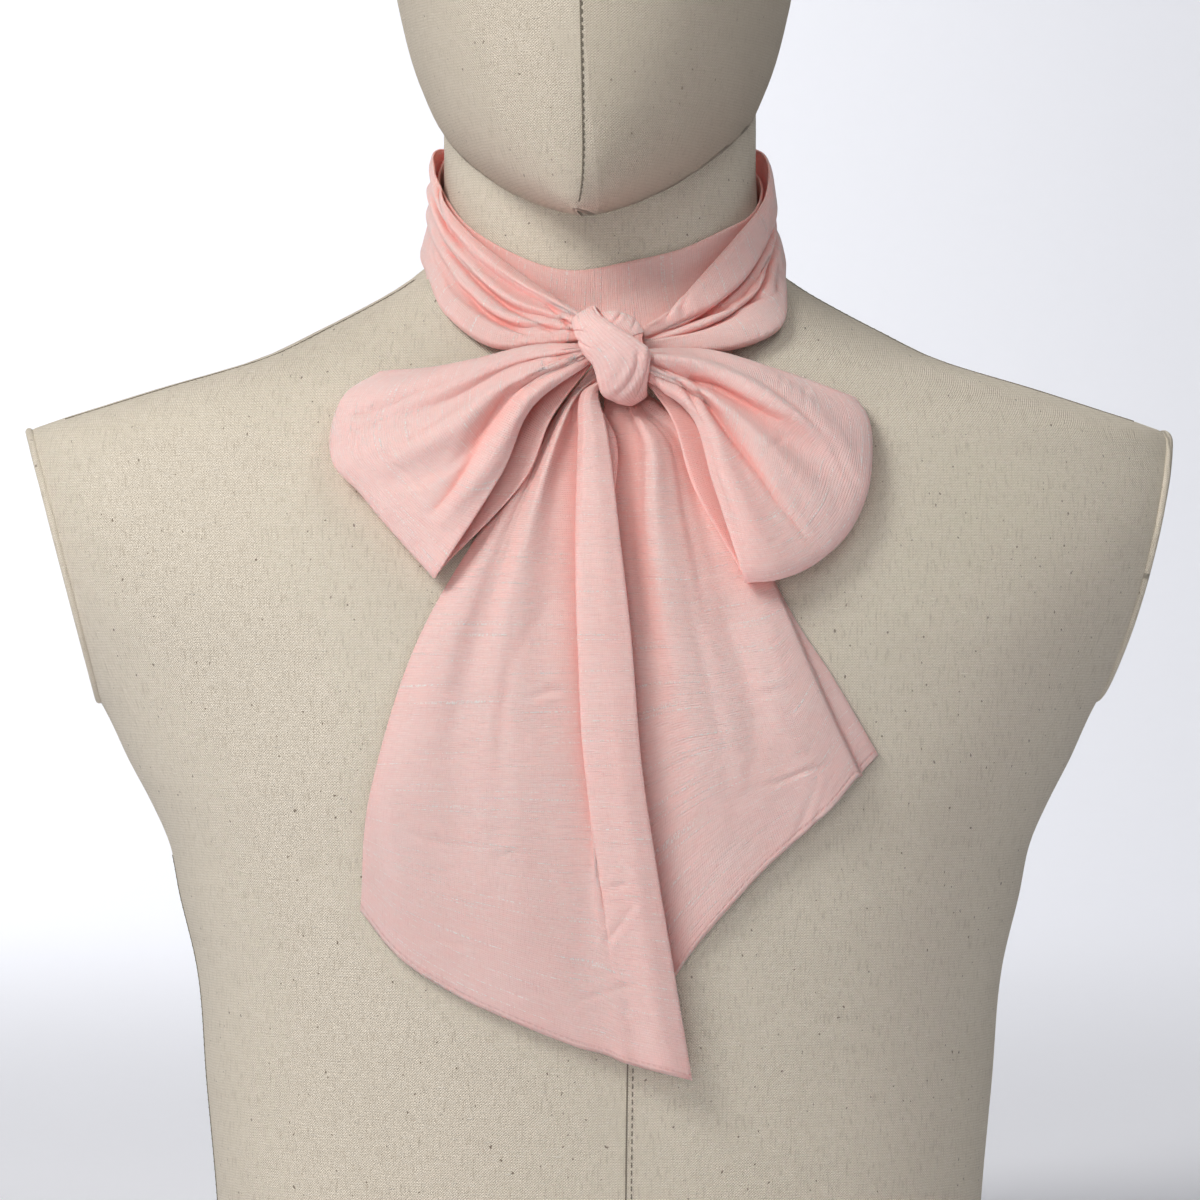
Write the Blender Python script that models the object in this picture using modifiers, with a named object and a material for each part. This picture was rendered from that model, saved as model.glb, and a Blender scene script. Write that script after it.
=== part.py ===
"""A pale pink cravat: one long scarf wound twice round the neck of a limbless
dress form and tied in a bow at the throat.

Every size is in millimetres until it is written into a mesh. +Z is up, the form
faces -Y, and the origin is the centre of the flat foot that the form stands on.
"""

import math

import bmesh
import bpy
import numpy as np
from mathutils import Euler, Matrix, Vector

MM = 0.001
COLLECTION = "cravat_on_dress_form"

# The cloth's wall, and the clear space kept between neighbours.
CLOTH_WALL = 1.0
SEAM_GAP = 0.3

# The place at the throat that the bow and the tails are laid out from.
BOW_X = 6.0
BOW_Z = 347.5

# The form's torso stands turned a little to its left, its head to its right.
TORSO_TURN = 4.5
HEAD_TURN = -5.0
HEAD_X = -2.0
HEAD_Y = -13.0

# Torso and neck: height, half width, depth in front, depth behind, squareness.
TORSO = [
    (0.0, 141.0, 86.0, 78.0, 2.25),
    (35.0, 143.0, 90.0, 82.0, 2.25),
    (80.0, 147.0, 96.0, 89.0, 2.25),
    (125.0, 151.0, 104.0, 96.0, 2.3),
    (150.0, 157.0, 108.5, 100.0, 2.3),
    (170.0, 161.3, 111.0, 103.0, 2.3),
    (185.0, 168.0, 112.5, 105.0, 2.3),
    (200.0, 176.0, 113.5, 106.5, 2.25),
    (218.0, 184.5, 113.5, 108.0, 2.2),
    (235.0, 194.5, 112.5, 108.8, 2.15),
    (252.0, 206.0, 110.0, 109.0, 2.15),
    (272.0, 218.0, 105.5, 108.3, 2.1),
    (295.0, 225.0, 97.0, 105.0, 2.05),
    (312.0, 222.0, 89.0, 100.0, 2.0),
    (324.0, 211.0, 83.5, 96.0, 2.0),
    (331.0, 190.0, 80.0, 92.5, 2.0),
    (338.0, 168.0, 76.5, 89.0, 2.0),
    (350.0, 128.0, 69.0, 82.0, 2.0),
    (360.0, 102.0, 62.5, 77.0, 2.0),
    (370.0, 81.0, 57.5, 73.0, 2.0),
    (375.0, 74.0, 56.0, 71.4, 2.0),
    (380.0, 68.0, 55.0, 70.0, 2.0),
    (386.0, 64.0, 54.3, 68.4, 2.0),
    (393.0, 61.3, 54.0, 66.8, 2.0),
    (410.0, 59.0, 54.0, 64.0, 2.0),
    (440.0, 58.5, 55.0, 62.0, 2.0),
    (480.0, 58.5, 56.0, 62.0, 2.0),
]

# The head, a smooth egg with no face: height, half width, front, back, squareness.
HEAD = [
    (401.5, 5.0, 79.0, -62.0, 2.0),
    (403.5, 18.0, 83.5, -44.0, 2.0),
    (409.0, 31.0, 88.0, -26.0, 2.0),
    (418.0, 43.0, 92.5, -6.0, 2.0),
    (432.0, 55.0, 97.0, 22.0, 2.0),
    (450.0, 64.0, 100.5, 50.0, 2.05),
    (478.0, 72.0, 102.5, 78.0, 2.1),
    (512.0, 77.0, 102.0, 95.0, 2.1),
    (548.0, 77.5, 97.0, 102.0, 2.1),
    (580.0, 71.0, 86.0, 97.0, 2.1),
    (604.0, 57.0, 68.0, 80.0, 2.05),
    (618.0, 39.0, 46.0, 56.0, 2.0),
    (625.0, 19.0, 23.0, 28.0, 2.0),
    (626.5, 5.0, 6.0, 8.0, 2.0),
]

# The cut arm ends: the plane leans in towards the waist.
ARM_CUT_X = 212.5
ARM_CUT_Z = 320.0
ARM_CUT_LEAN = 14.6
ARM_POCKET_Z = 268.0
ARM_POCKET_TALL = 34.0
ARM_POCKET_WIDE = 32.0
ARM_POCKET_DEEP = 7.0
ARM_PLATE_THICK = 4.0

ARM_CUT_BOX = (60.0, 260.0, 260.0)
ARM_CUT_BOX_MIDDLE = (30.0, 0.0, -60.0)

# How finely the surfaces are faceted: points round a form, and the steps in mm
# across and along each kind of cloth.
RING_POINTS = 40
OVAL_POINTS = 40
CORE_POINTS = (16, 10)
THROAT_STEP = 11.0
THROAT_LINES = 3
WRAP_STEP = 10.0
WRAP_FOLD_STEP = 0.8
KNOT_BAND_POINTS = (26, 11)
BACK_TURN_POINTS = (9, 5)
LOOP_STEPS = (5.0, 9.0)
TAIL_STEPS = (6.0, 17.0)
SHARP_ANGLE = math.radians(40)


def through(points, step):
    """A smooth curve through points along the first axis, cut about a step apart."""
    points = np.asarray(points, float)
    gaps = np.linalg.norm(np.diff(points, axis=0), axis=-1)
    gaps = gaps.reshape(len(gaps), -1).mean(1)
    knots = np.concatenate([[0.0], np.cumsum(np.sqrt(gaps))])
    slopes = np.gradient(points, knots, axis=0)
    curve = [points[:1]]
    for span, gap in enumerate(gaps):
        count = max(1, round(gap / step))
        width = knots[span + 1] - knots[span]
        t = np.linspace(0.0, 1.0, count + 1)[1:].reshape((count,) + (1,) * (points.ndim - 1))
        curve.append(
            (2 * t**3 - 3 * t**2 + 1) * points[span]
            + (t**3 - 2 * t**2 + t) * width * slopes[span]
            + (3 * t**2 - 2 * t**3) * points[span + 1]
            + (t**3 - t**2) * width * slopes[span + 1]
        )
    return np.concatenate(curve)


def column(table, height, number):
    """A column of a section table at any height, on a smooth curve through its rows."""
    rows = np.array(table)
    slopes = np.gradient(rows[:, number], rows[:, 0])
    height = np.clip(height, rows[0, 0], rows[-1, 0])
    span = np.clip(np.searchsorted(rows[:, 0], height, side="right") - 1, 0, len(rows) - 2)
    width = rows[span + 1, 0] - rows[span, 0]
    t = (height - rows[span, 0]) / width
    return (
        (2 * t**3 - 3 * t**2 + 1) * rows[span, number]
        + (t**3 - 2 * t**2 + t) * width * slopes[span]
        + (3 * t**2 - 2 * t**3) * rows[span + 1, number]
        + (t**3 - t**2) * width * slopes[span + 1]
    )


def turned(x, y, degrees):
    """The point (x, y) turned about the vertical axis."""
    c, s = math.cos(math.radians(degrees)), math.sin(math.radians(degrees))
    return c * x - s * y, s * x + c * y


def section_point(table, angle, height, out=0.0):
    """A point of a section, by its angle from the front, positive to the viewer's right."""
    wide = column(table, height, 1) + out
    front = column(table, height, 2) + out
    back = column(table, height, 3) + out
    power = 2.0 / column(table, height, 4)
    s, c = np.sin(angle), np.cos(angle)
    x = wide * np.sign(s) * np.abs(s) ** power
    y = -np.sign(c) * np.abs(c) ** power * np.where(c > 0, front, back)
    return x, y


def neck_point(degrees, height, out):
    """A point held off the neck's surface, in a direction from the front round the neck."""
    wide = column(TORSO, height, 1) + out
    front = column(TORSO, height, 2) + out
    back = column(TORSO, height, 3) + out
    s, c = np.sin(np.radians(degrees)), np.cos(np.radians(degrees))
    reach = 1.0 / np.hypot(s / wide, c / np.where(c > 0, front, back))
    x, y = turned(reach * s, -reach * c, TORSO_TURN)
    return np.stack([x, y, height + 0 * x], axis=-1)


def chest_front(x, height):
    """How far forward the torso's front lies at this place, as a Y."""
    wide = column(TORSO, height, 1)
    front = column(TORSO, height, 2)
    power = column(TORSO, height, 4)
    c, s = math.cos(math.radians(TORSO_TURN)), math.sin(math.radians(TORSO_TURN))
    y = -front
    for _ in range(8):
        own_x = np.clip(np.abs(c * x + s * y) / wide, 0.0, 0.98)
        own_y = -front * (1.0 - own_x**power) ** (1.0 / power)
        y = (own_y + s * x) / c
    return y


def on_chest(rows):
    """Points from (right of the knot, below the knot, off the chest) triples."""
    rows = np.asarray(rows, float)
    x = BOW_X + rows[..., 0]
    z = BOW_Z - rows[..., 1]
    return np.stack([x, chest_front(x, z) - rows[..., 2], z], axis=-1)


def off_chest(points):
    """The (right, below, off the chest) triples of points."""
    x, y, z = points[..., 0], points[..., 1], points[..., 2]
    return np.stack([x - BOW_X, BOW_Z - z, chest_front(x, z) - y], axis=-1)


def grid_mesh(name, grid, across_closed=False):
    """An open surface through a grid of points, or a tube when it closes on itself."""
    rows, columns = grid.shape[:2]
    mesh = bpy.data.meshes.new(name)
    vertices = [Vector(p) * MM for p in grid.reshape(-1, 3)]
    faces = []
    for i in range(rows - 1):
        for j in range(columns - (0 if across_closed else 1)):
            k = (j + 1) % columns
            near, far = i * columns, (i + 1) * columns
            faces.append((near + j, near + k, far + k, far + j))
    mesh.from_pydata(vertices, [], faces)
    mesh.update()
    return mesh


def material(name, colour, roughness, metallic=0.0):
    """A plain Principled material."""
    made = bpy.data.materials.new(name)
    made.use_nodes = True
    shader = made.node_tree.nodes["Principled BSDF"]
    shader.inputs["Base Color"].default_value = (*colour, 1.0)
    shader.inputs["Roughness"].default_value = roughness
    shader.inputs["Metallic"].default_value = metallic
    return made


def place(obj, finish, collection):
    """Puts an object in the part's collection with its material, shaded smooth."""
    collection.objects.link(obj)
    obj.data.materials.append(finish)
    obj.data.shade_smooth()
    return obj


def cloth(name, grid, finish, collection, across_closed=False):
    """A cloth wall: the surface through the grid, made solid by half its wall each way."""
    obj = bpy.data.objects.new(name, grid_mesh(name, grid, across_closed))
    thick = obj.modifiers.new("wall", "SOLIDIFY")
    thick.thickness = CLOTH_WALL * MM
    thick.offset = 0.0
    return place(obj, finish, collection)


def loft(name, table, turn=0.0, shift=(0.0, 0.0)):
    """A closed body with a ring at each row of a section table, and its ends filled."""
    angles = np.linspace(0.0, 2 * math.pi, RING_POINTS, endpoint=False)
    mesh = bpy.data.meshes.new(name)
    shape = bmesh.new()
    rings = []
    for row in table:
        x, y = section_point(table, angles, row[0])
        x, y = turned(x, y, turn)
        places = [((px + shift[0]) * MM, (py + shift[1]) * MM, row[0] * MM) for px, py in zip(x, y)]
        rings.append([shape.verts.new(place) for place in places])
    for below, above in zip(rings, rings[1:]):
        for i in range(RING_POINTS):
            k = (i + 1) % RING_POINTS
            shape.faces.new((below[i], below[k], above[k], above[i]))
    shape.faces.new(rings[0][::-1])
    shape.faces.new(rings[-1])
    bmesh.ops.recalc_face_normals(shape, faces=shape.faces)
    shape.to_mesh(mesh)
    shape.free()
    mesh.shade_smooth()
    return bpy.data.objects.new(name, mesh)


def box(name, size, matrix, helpers):
    """A cutting box, hidden from the render."""
    shape = bmesh.new()
    bmesh.ops.create_cube(shape, size=1.0, matrix=Matrix.Diagonal((*[s * MM for s in size], 1.0)))
    return helper(name, shape, matrix, helpers)


def oval_shape(half_tall, half_wide, deep):
    """An upright oval disc whose axis is X."""
    shape = bmesh.new()
    turn = Matrix.Rotation(math.radians(90), 4, "Y")
    size = Matrix.Diagonal((deep * MM, half_wide * MM, half_tall * MM, 1.0))
    bmesh.ops.create_cone(
        shape,
        cap_ends=True,
        segments=OVAL_POINTS,
        radius1=1.0,
        radius2=1.0,
        depth=1.0,
        matrix=size @ turn,
    )
    return shape


def helper(name, shape, matrix, helpers):
    """A cutter made from a bmesh, placed by its matrix."""
    mesh = bpy.data.meshes.new(name)
    shape.to_mesh(mesh)
    shape.free()
    obj = bpy.data.objects.new(name, mesh)
    obj.matrix_world = matrix
    helpers.objects.link(obj)
    obj.hide_render = True
    obj.display_type = "WIRE"
    return obj


def boolean(obj, other, operation):
    """A Boolean modifier with Blender's default solver."""
    cut = obj.modifiers.new(other.name, "BOOLEAN")
    cut.operation = operation
    cut.object = other


def arm_frame(side):
    """The matrix of an arm end: its X points out of the cut, its Z up along it."""
    turn = Matrix.Rotation(math.radians(TORSO_TURN), 4, "Z")
    if side < 0:
        turn = turn @ Matrix.Rotation(math.pi, 4, "Z")
    foot = Matrix.Translation(Vector((ARM_CUT_X, 0.0, ARM_CUT_Z)) * MM)
    return turn @ foot @ Matrix.Rotation(math.radians(ARM_CUT_LEAN), 4, "Y")


def dress_form(collection, helpers, linen, plastic):
    """The limbless form: torso, neck and head in one body, and the arm end plates."""
    torso = loft("form_body", TORSO, TORSO_TURN)
    head = loft("head_tool", HEAD, HEAD_TURN, (HEAD_X, HEAD_Y))
    helpers.objects.link(head)
    head.hide_render = True
    head.display_type = "WIRE"
    place(torso, linen, collection)
    boolean(torso, head, "UNION")
    slide = (ARM_CUT_Z - ARM_POCKET_Z) / math.cos(math.radians(ARM_CUT_LEAN))
    for side, label in ((-1, "left"), (1, "right")):
        frame = arm_frame(side)
        beyond = frame @ Matrix.Translation(Vector(ARM_CUT_BOX_MIDDLE) * MM)
        boolean(torso, box(f"arm_cut_{label}", ARM_CUT_BOX, beyond, helpers), "DIFFERENCE")
        middle = frame @ Matrix.Translation(Vector((0.0, 0.0, -slide)) * MM)
        pocket = oval_shape(ARM_POCKET_TALL, ARM_POCKET_WIDE, 2 * ARM_POCKET_DEEP)
        boolean(torso, helper(f"arm_pocket_{label}", pocket, middle, helpers), "DIFFERENCE")
        sunk = -ARM_POCKET_DEEP + SEAM_GAP + ARM_PLATE_THICK / 2
        name = f"arm_plate_{label}"
        mesh = bpy.data.meshes.new(name)
        shape = oval_shape(ARM_POCKET_TALL - SEAM_GAP, ARM_POCKET_WIDE - SEAM_GAP, ARM_PLATE_THICK)
        shape.to_mesh(mesh)
        shape.free()
        plate = bpy.data.objects.new(name, mesh)
        plate.matrix_world = middle @ Matrix.Translation(Vector((sunk, 0.0, 0.0)) * MM)
        place(plate, plastic, collection)
        mesh.set_sharp_from_angle(angle=SHARP_ANGLE)
    torso.data.set_sharp_from_angle(angle=SHARP_ANGLE)


# The band across the throat, the scarf's middle, out to where each end turns over
# the other at the nape: angle from the front, top, bottom, off the neck.
THROAT_SECTIONS = [
    (-157.0, 438.0, 411.0, 4.6),
    (-150.0, 437.5, 410.5, 2.8),
    (-140.0, 436.0, 409.0, 1.8),
    (-122.0, 431.0, 399.0, 1.6),
    (-90.0, 417.0, 389.0, 2.0),
    (-55.0, 398.0, 369.0, 2.0),
    (-28.0, 386.5, 356.5, 1.6),
    (0.0, 382.0, 352.0, 1.6),
    (28.0, 386.0, 356.5, 1.6),
    (55.0, 398.0, 369.0, 2.0),
    (90.0, 417.0, 389.0, 2.0),
    (122.0, 431.0, 399.0, 1.6),
    (140.0, 436.0, 409.0, 1.8),
    (150.0, 437.5, 410.5, 2.8),
    (157.0, 438.0, 411.0, 4.6),
]

# The strand from the nape round the viewer's left side to the knot:
# angle from the front, top, bottom, off the neck, height of its folds.
LEFT_WRAP_SECTIONS = [
    (-12.0, 364.0, 353.5, 17.0, 0.5),
    (-19.0, 372.0, 352.5, 12.5, 1.2),
    (-32.0, 382.0, 351.8, 8.4, 2.6),
    (-48.0, 391.5, 360.0, 7.8, 2.3),
    (-66.0, 405.0, 372.5, 7.2, 2.0),
    (-90.0, 424.0, 386.0, 6.0, 1.7),
    (-120.0, 430.0, 389.0, 5.8, 1.4),
    (-140.0, 418.0, 384.0, 5.6, 1.0),
    (-150.0, 407.5, 382.0, 5.0, 0.7),
    (-160.0, 407.0, 382.0, 3.6, 0.5),
    (-180.0, 416.0, 391.0, 2.6, 0.3),
    (-195.0, 431.0, 405.0, 3.2, 0.3),
    (-202.6, 438.0, 411.0, 4.6, 0.1),
]
# Its folds from top to bottom: place across the strand, height as a share.
LEFT_WRAP_FOLDS = [
    (0.0, -0.8),
    (0.1, 0.9),
    (0.22, -0.7),
    (0.34, 1.0),
    (0.46, -0.8),
    (0.57, 0.8),
    (0.68, -0.9),
    (0.8, 0.9),
    (0.9, 0.6),
    (1.0, -0.9),
]

# The strand round the viewer's right side, which crosses over the other at the nape.
RIGHT_WRAP_SECTIONS = [
    (6.5, 358.5, 350.5, 17.0, 0.3),
    (14.0, 364.0, 350.5, 14.0, 0.5),
    (28.0, 377.0, 350.5, 9.6, 2.4),
    (46.0, 393.0, 357.5, 8.0, 2.8),
    (66.0, 408.0, 370.0, 7.4, 2.6),
    (90.0, 425.0, 385.0, 6.8, 2.2),
    (120.0, 431.0, 389.0, 6.2, 1.6),
    (140.0, 419.0, 384.0, 5.8, 1.0),
    (150.0, 408.0, 381.5, 5.6, 0.8),
    (160.0, 407.0, 381.0, 5.8, 0.7),
    (180.0, 415.0, 388.0, 6.4, 0.7),
    (195.0, 431.0, 404.0, 5.8, 0.5),
    (202.6, 438.0, 411.0, 4.6, 0.1),
]
RIGHT_WRAP_FOLDS = [
    (0.0, -0.4),
    (0.12, 0.6),
    (0.3, 0.7),
    (0.46, -1.2),
    (0.56, 0.5),
    (0.64, -0.9),
    (0.76, 0.9),
    (0.9, 0.6),
    (1.0, -0.8),
]


def strand(sections, folds, along, across):
    """A wound strand: a band between top and bottom lines, with folds along it."""
    angle, top, bottom, out, high = (values[:, None] for values in through(sections, along).T)
    share, ripple = through(folds, across).T
    height = top + (bottom - top) * share
    return neck_point(angle + 0 * height, height, out + high * ripple)


def throat_band(along, across):
    """The inner band, close round the neck and plain."""
    angle, top, bottom, out = (values[:, None] for values in through(THROAT_SECTIONS, along).T)
    share = np.linspace(0.0, 1.0, across)
    height = top + (bottom - top) * share
    return neck_point(angle + 0 * height, height, out + 0 * height)


# Tails and loops are laid out by the lines of their folds, in order across the cloth.
# Each line starts where it goes under the knot's band: along the bow, ahead of the
# knot's middle, up the band. Its other places are right of the throat, below it and
# off the chest. Where the cloth turns back on itself, the first two numbers say to
# which side the fold lies and whether the cloth goes up or down round it.
FOLD_RADIUS = 1.3
FOLD_RADIUS_AT_KNOT = 0.8
FOLD_OPENING = 0.35
FLAT = (0, 0)
FRONT_TAIL = [
    # left edge
    (
        FLAT, (-6.2, 0.6, 0.8),
        (-16.6, 13.5, 8), (-25.8, 27, 2.4), (-46.5, 59, 2.2), (-71, 102, 2.2),
        (-87, 152, 2.2), (-92, 199, 2.2),
    ),
    # soft ridge
    (
        FLAT, (-6.4, 0.8, -0.5),
        (-16, 13.5, 9.6), (-24.3, 27, 5.5), (-41.9, 59, 6.4), (-61.6, 102, 6.5),
        (-74.8, 152, 5.5), (-77.7, 216, 4),
    ),
    # soft hollow
    (
        FLAT, (-6.6, 0.7, -1.8),
        (-15.4, 13.6, 9.6), (-22.9, 27.5, 5.8), (-36.5, 60, 5), (-49.8, 102, 4.6),
        (-58, 152, 4.4), (-58, 229, 3.2),
    ),
    # ridge
    (
        FLAT, (-6.8, 0.9, -3.1),
        (-14.6, 13.6, 12.8), (-21.5, 28, 12), (-31.1, 60, 9.6), (-39, 102, 8),
        (-41.9, 152, 6.5), (-36.5, 239, 4.6),
    ),
    # hollow beside the centre pleat
    (
        FLAT, (-7.0, 0.6, -4.5),
        (-13, 13.8, 10.4), (-17.5, 29, 6.2), (-21.8, 61, 4.8), (-24, 102, 4.8),
        (-24.7, 152, 4.8), (-16.8, 247, 4.2),
    ),
    # turn under the centre pleat
    (
        (1, 1), (-5.8, 3.0, -6.4),
        (-7.6, 14, 11.6), (-0.5, 30, 7.4), (-2.2, 61, 6.4), (-1.8, 102, 6.2),
        (-2.5, 152, 6.0), (13, 256.4, 5.8),
    ),
    # left fold of the centre pleat
    (
        (-1, 1), (-9.0, 4.8, -5.6),
        (-12.6, 13.6, 14.6), (-13.6, 29, 12.2), (-14.3, 61, 10.6), (-13.6, 102, 9.8),
        (-10.7, 152, 9), (8, 255.2, 8.6),
    ),
    # middle of the centre pleat
    (
        FLAT, (-7.4, 6.4, -5.8),
        (-9.6, 13, 17.2), (-8.6, 28, 15.5), (-6.4, 61, 14), (-3.4, 102, 12.5),
        (0.5, 152, 11.6), (17.5, 257.4, 10.4),
    ),
    # right edge and the point of the hem
    (
        FLAT, (-5.8, 6.2, -6.6),
        (-6.8, 12.4, 15.6), (-3.6, 27.5, 14), (0.4, 61, 12.4), (5, 102, 11.2),
        (9.3, 152, 10), (26.9, 260, 8.4),
    ),
]

# The back tail comes out from behind the knot, so its lines start on the chest.
BACK_TAIL = [
    # left edge, behind the front tail
    (
        FLAT, (1, 13.5, 2.0),
        (0.8, 19.5, 4.0), (-3.5, 33, 1.3), (-9.5, 59, 1.3), (-11.4, 95, 1.3),
        (-9.6, 145, 1.3), (-2.5, 243, 1.3),
    ),
    (
        FLAT, (2, 13.5, 2.1),
        (2.6, 19.5, 4.6), (3.0, 32, 1.6), (1.8, 59, 1.3), (4.6, 95, 1.3), (8.2, 145, 1.4), (15.4, 230, 1.6),
    ),
    # deep hollow in the shade of the centre pleat
    (
        FLAT, (3, 13.5, 2.1),
        (4.2, 19.5, 4.4), (7.5, 31.5, 2.4), (7.5, 59, 1.6), (11.4, 95, 1.8),
        (19, 141, 2.2), (27.5, 213, 2.4),
    ),
    # sharp ridge
    (
        FLAT, (4, 13.5, 2.2),
        (6.0, 19.5, 6.6), (11.8, 31, 10.5), (13.2, 59, 9.2), (17.8, 95, 6.6),
        (28, 138, 4.6), (40, 198, 3.6),
    ),
    (
        FLAT, (5.4, 13.5, 2.2),
        (8.0, 19.5, 6.4), (16.4, 30.4, 8), (21.4, 59, 7), (28.6, 95, 5.4), (39, 136, 4.6), (53, 184, 4),
    ),
    # hollow
    (
        FLAT, (6.8, 13.5, 2.2),
        (10.4, 19.3, 5.4), (21.5, 29.6, 4.4), (30, 57, 4), (39.6, 93, 4),
        (51.8, 133, 4.2), (67.5, 171, 4.6),
    ),
    # ridge
    (
        FLAT, (8.2, 13.5, 2.2),
        (13, 18.6, 6.2), (25, 29, 6.6), (37.5, 56, 6.8), (51, 91, 7), (64.3, 131, 6.8), (79, 160, 6),
    ),
    # right fold
    (
        (1, -1), (9.6, 13.5, 2.2),
        (16.4, 17.6, 4.6), (28.6, 28, 4.6), (44, 54.6, 4.6), (59.6, 88, 4.8),
        (73.2, 119.6, 4.8), (88, 151, 4.6),
    ),
    # right edge and the corner of the hem
    (
        FLAT, (11, 13.5, 2.0),
        (16.6, 16.8, 1.6), (28, 28, 1.3), (43.4, 54.6, 1.3), (60.7, 89, 1.3),
        (77.5, 115.4, 1.3), (94, 143.5, 1.3),
    ),
]

# A loop's lines: where it goes under the band, then near, middle and far places over
# its front. The ply behind returns on the same line, held off the chest at the far
# turn, the middle and near the knot, and moved over to the right and down.
LEFT_LOOP = [
    # top edge
    [(-6.4, 4.4, 8.8), (-37.6, -0.2, 15), (-61.6, 3.4, 13), (-85.6, 4.7, 7), (3.2, 3.0, 5), (0, 0)],
    # ridge
    [(-6.4, 5.2, 7.7), (-39.7, 2.6, 21), (-66, 11, 21), (-98, 13.2, 9), (3.2, 3.0, 5), (0, 0)],
    # hollow
    [(-6.4, 4.8, 6.6), (-39.3, 5.8, 16.5), (-69, 19.5, 17), (-103, 27, 9), (2.8, 3.0, 5), (0, 0)],
    # ridge
    [(-6.4, 5.4, 5.5), (-37.5, 9, 24), (-66.5, 29, 23.5), (-101.5, 38.4, 9.6), (2.6, 2.8, 6), (0.5, 0)],
    # hollow
    [(-6.4, 4.8, 4.4), (-34.7, 12, 19), (-58.4, 38.4, 18), (-92.6, 48.2, 9), (2.6, 3.6, 7), (1.5, 0.5)],
    # ridge
    [(-6.4, 5.4, 3.3), (-31, 14.4, 22.6), (-50, 44.3, 20.5), (-78.6, 64.5, 9), (3.4, 6.6, 10), (3.5, 1.5)],
    # lower edge
    [(-6.4, 4.8, 2.2), (-30.2, 17.6, 19.4), (-41.5, 42.6, 17.5), (-65.2, 79.6, 8.6), (4.6, 8.6, 12), (7, 3.5)],
]

RIGHT_LOOP = [
    # top edge
    [(9.0, 6.2, -3.6), (29.6, -3.4, 14), (57.6, 3.4, 11), (87, 14, 6.4), (3.2, 2.8, 5), (0, 3.5)],
    [(9.2, 6.6, -5.0), (31.4, -1.2, 16), (61.4, 8.8, 15), (91.4, 21.6, 8), (3.0, 2.8, 5.5), (0, 2.5)],
    # ridge
    [(9.2, 6.8, -6.4), (34.6, 4, 23), (62, 17.6, 24), (92.4, 36, 9.6), (2.6, 2.8, 7), (0, 1)],
    # hollow
    [(8.8, 6.2, -7.8), (32, 10, 16.5), (54.8, 24.8, 17.5), (89.4, 51, 9.4), (2.6, 4, 9), (0, 0)],
    # ridge
    [(8.2, 6.2, -9.2), (32.6, 13.4, 21), (55.4, 33.4, 23.5), (82.6, 63.8, 9.4), (3.2, 6, 10), (-1, 0.4)],
    # crease
    [(7.4, 5.2, -10.6), (32.4, 17, 16.8), (51.2, 45.6, 18), (70.2, 74.6, 10), (5.4, 8.4, 10.6), (-2, 0.8)],
    # ridge of the lower lobe
    [(6.4, 4.6, -12.0), (30.4, 20.4, 21), (43.4, 49, 21.5), (57.6, 80, 12.6), (8.4, 9.4, 10.8), (-4, 1.4)],
    # lower edge
    [(5.4, 3.6, -13.4), (26.8, 20.6, 18), (34.6, 45.6, 18.4), (46, 81, 12.4), (9.2, 10.2, 11.2), (-6.5, 2.0)],
]

LOOP_END_ROUND = 3.5
ROOT_PLIES_APART = 5.0


def loop_lines(rows):
    """Closes each line of a loop: out over the front, round the far fold, and back."""
    lines = []
    for root, near, middle, far, behind, (right, down) in rows:
        near, middle, far = (np.array(place, float) for place in (near, middle, far))
        turn_off, middle_off, near_off = behind
        inward = (middle[:2] - far[:2]) / np.linalg.norm(middle[:2] - far[:2]) * LOOP_END_ROUND
        front_turn = [*(far[:2] + inward), far[2] + LOOP_END_ROUND]
        back_turn = [*(far[:2] + inward), turn_off]
        back_middle = [middle[0] + right, middle[1] + down, middle_off]
        back_near = [near[0] + right, near[1] + down, near_off]
        along, ahead, up = root
        front_root, back_root = off_chest(in_knot([root, (along, ahead - ROOT_PLIES_APART, up)]))
        lines.append(
            [front_root, near, middle, front_turn, far, back_turn, back_middle, back_near, back_root]
        )
    return np.array(lines)


def tail_lines(rows, from_knot):
    """The lines of a tail, with three close lines where it turns back on itself."""
    starts = [off_chest(in_knot(row[1])) if from_knot else np.array(row[1], float) for row in rows]
    # At the knot a fold is tight, and behind it the fold opens out flat.
    radius, opening = (FOLD_RADIUS_AT_KNOT, 0.0) if from_knot else (0.0, FOLD_OPENING)
    lines = []
    for i, ((side, rise), _, *places) in enumerate(rows):
        for step in ((-1, 0, 1) if side else (0,)):
            fold = np.array([-side * abs(step), 0.0, rise * step])
            start = starts[i] + fold * radius + (starts[i + step] - starts[i]) * opening
            lines.append(np.concatenate([[start], places + fold * FOLD_RADIUS]))
    return np.array(lines)


def draped(lines, across, along):
    """A cloth surface on the chest through its fold lines."""
    surface = through(lines, across)
    return on_chest(through(np.swapaxes(surface, 0, 1), along))


# The knot: a band round the bow's middle, tilted as it was pulled tight.
KNOT_X = 4.5
KNOT_Y = -88.0
KNOT_Z = 348.3
KNOT_TILT = 32.0
KNOT_HALF_LONG = 18.8
KNOT_HALF_AHEAD = 12.0
KNOT_HALF_BEHIND = 8.6
KNOT_CORE = (5.2, 7.4, 15.4)
# Round the band, from the front and up: angle, half width, place of its middle.
KNOT_BAND_SECTIONS = [
    (0.0, 9.0, 1.0),
    (22.0, 7.6, -0.8),
    (50.0, 5.4, -1.6),
    (90.0, 4.6, -0.7),
    (140.0, 5.0, 0.0),
    (220.0, 5.0, 0.0),
    (270.0, 3.4, -0.4),
    (305.0, 6.4, -1.4),
    (325.0, 9.8, -0.8),
    (340.0, 10.8, 1.0),
]
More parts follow.
